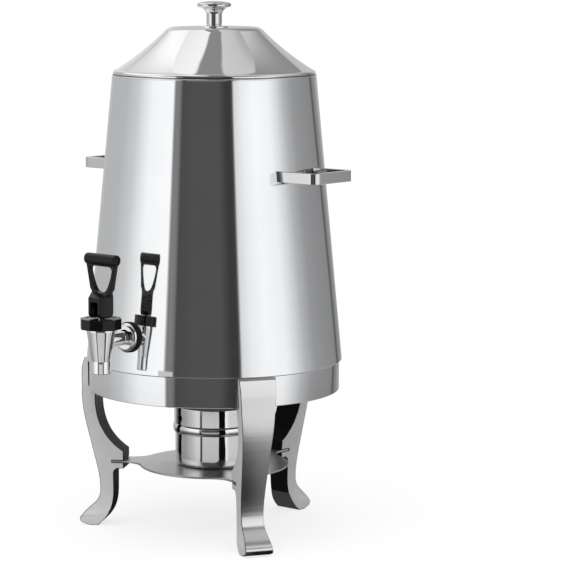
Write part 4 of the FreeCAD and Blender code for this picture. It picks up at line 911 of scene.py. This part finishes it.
leg_at(-120, "cast_leg_right", "leg_right")
leg_at(120, "cast_leg_left", "leg_left")
placed(leg, "stand", "polished_casting", None, "leg_back")

# %% [markdown]
# ## The burner tray
# The tray is laser-cut from 2 mm sheet and tumbled, so its edges are not sharp.
# The outline is already right in the solid. A copy with its flat faces joined
# takes a thin bevel all round, which draws the fine bright line that the front
# edge shows.

# %% Soften the tray
tray = merged_copy("burner_tray", "cut_burner_tray")
bpy.ops.mesh.dissolve_limited(angle_limit=math.radians(1))
bpy.ops.object.mode_set(mode="OBJECT")
with_bevel(tray, 0.35, 2)
close_piece(tray)
placed(tray, "stand", "polished_steel", tray_steel, "burner_tray")

# %% [markdown]
# ## The lever
# The lever is one moulding: a slotted block, an open loop and a cross bar that
# grow out of each other with no sharp corner. Beveling so many meeting edges by
# hand is slow. A voxel remesh turns the copied solid into one even skin, and a
# few rounds of smoothing melt its corners as the mould's small radii do.

# %% Mould the lever
LEVER_VOXEL, MELT_ROUNDS = 0.0004, 8
lever = merged_copy("tap_lever", "moulded_lever")
bpy.ops.object.mode_set(mode="OBJECT")
skin = lever.modifiers.new("skin", "REMESH")
skin.mode = "VOXEL"
skin.voxel_size = LEVER_VOXEL
skin.use_smooth_shade = True
bpy.ops.object.modifier_apply(modifier="skin")
melt = lever.modifiers.new("melt", "SMOOTH")
melt.factor = 0.5
melt.iterations = MELT_ROUNDS
bpy.ops.object.modifier_apply(modifier="melt")
close_piece(lever, 60)
placed(lever, "lever", "black_plastic", black_plastic, "tap_lever")

# %% [markdown]
# ## The bonnet
# The bonnet is a ten-sided screw cap. A ten-sided cylinder gives it at once. Its
# upright edges and rims are beveled, because each facet shows as a patch with a
# lighter line where it meets the next. The top is inset for the shallow step
# that such caps have, and a hole is cut for the stem.

# %% Shape the bonnet
BONNET_Z, BONNET_TALL, BONNET_R = 225.55, 10.4, 20.6
BONNET_TURN = math.radians(-90 + 11.3)
BONNET_RIM, STEP_WIDE, STEP_DEEP = 0.0042, 0.0005, 0.0004
bpy.ops.object.select_all(action="DESELECT")
bpy.ops.mesh.primitive_cylinder_add(vertices=10, radius=BONNET_R / 1000, depth=BONNET_TALL / 1000)
bonnet = bpy.context.object
bonnet.name = "ten_sided_bonnet"
open_piece(bonnet)
first_corner = math.atan2(bonnet.data.vertices[0].co.y, bonnet.data.vertices[0].co.x)
bpy.ops.transform.rotate(
    value=first_corner - BONNET_TURN, orient_axis="Z", center_override=(0, 0, 0),
)
bpy.ops.transform.translate(value=(0, TAP_CENTRE[1], (BONNET_Z + BONNET_TALL / 2) / 1000))
bpy.ops.object.mode_set(mode="OBJECT")
with_bevel(bonnet, 0.7)
open_piece(bonnet, "DESELECT")
select_faces(bonnet, lambda face: face.normal.z > 0.99)
bpy.ops.mesh.inset(thickness=BONNET_RIM)
bpy.ops.mesh.inset(thickness=STEP_WIDE, depth=-STEP_DEEP)
bpy.ops.object.mode_set(mode="OBJECT")
print("bonnet:", len(bonnet.data.polygons), "faces")

# %% Bore the bonnet
STEM_HOLE_R, DRILL_LONG = 0.0034, 0.03
bpy.ops.object.select_all(action="DESELECT")
bpy.ops.mesh.primitive_cylinder_add(
    vertices=48, radius=STEM_HOLE_R, depth=DRILL_LONG, location=(0, TAP_CENTRE[1], BONNET_Z / 1000),
)
cut_with(bonnet, bpy.context.object, "DIFFERENCE")
close_piece(bonnet, 20)
placed(bonnet, "urn", "black_plastic", black_plastic, "tap_bonnet")
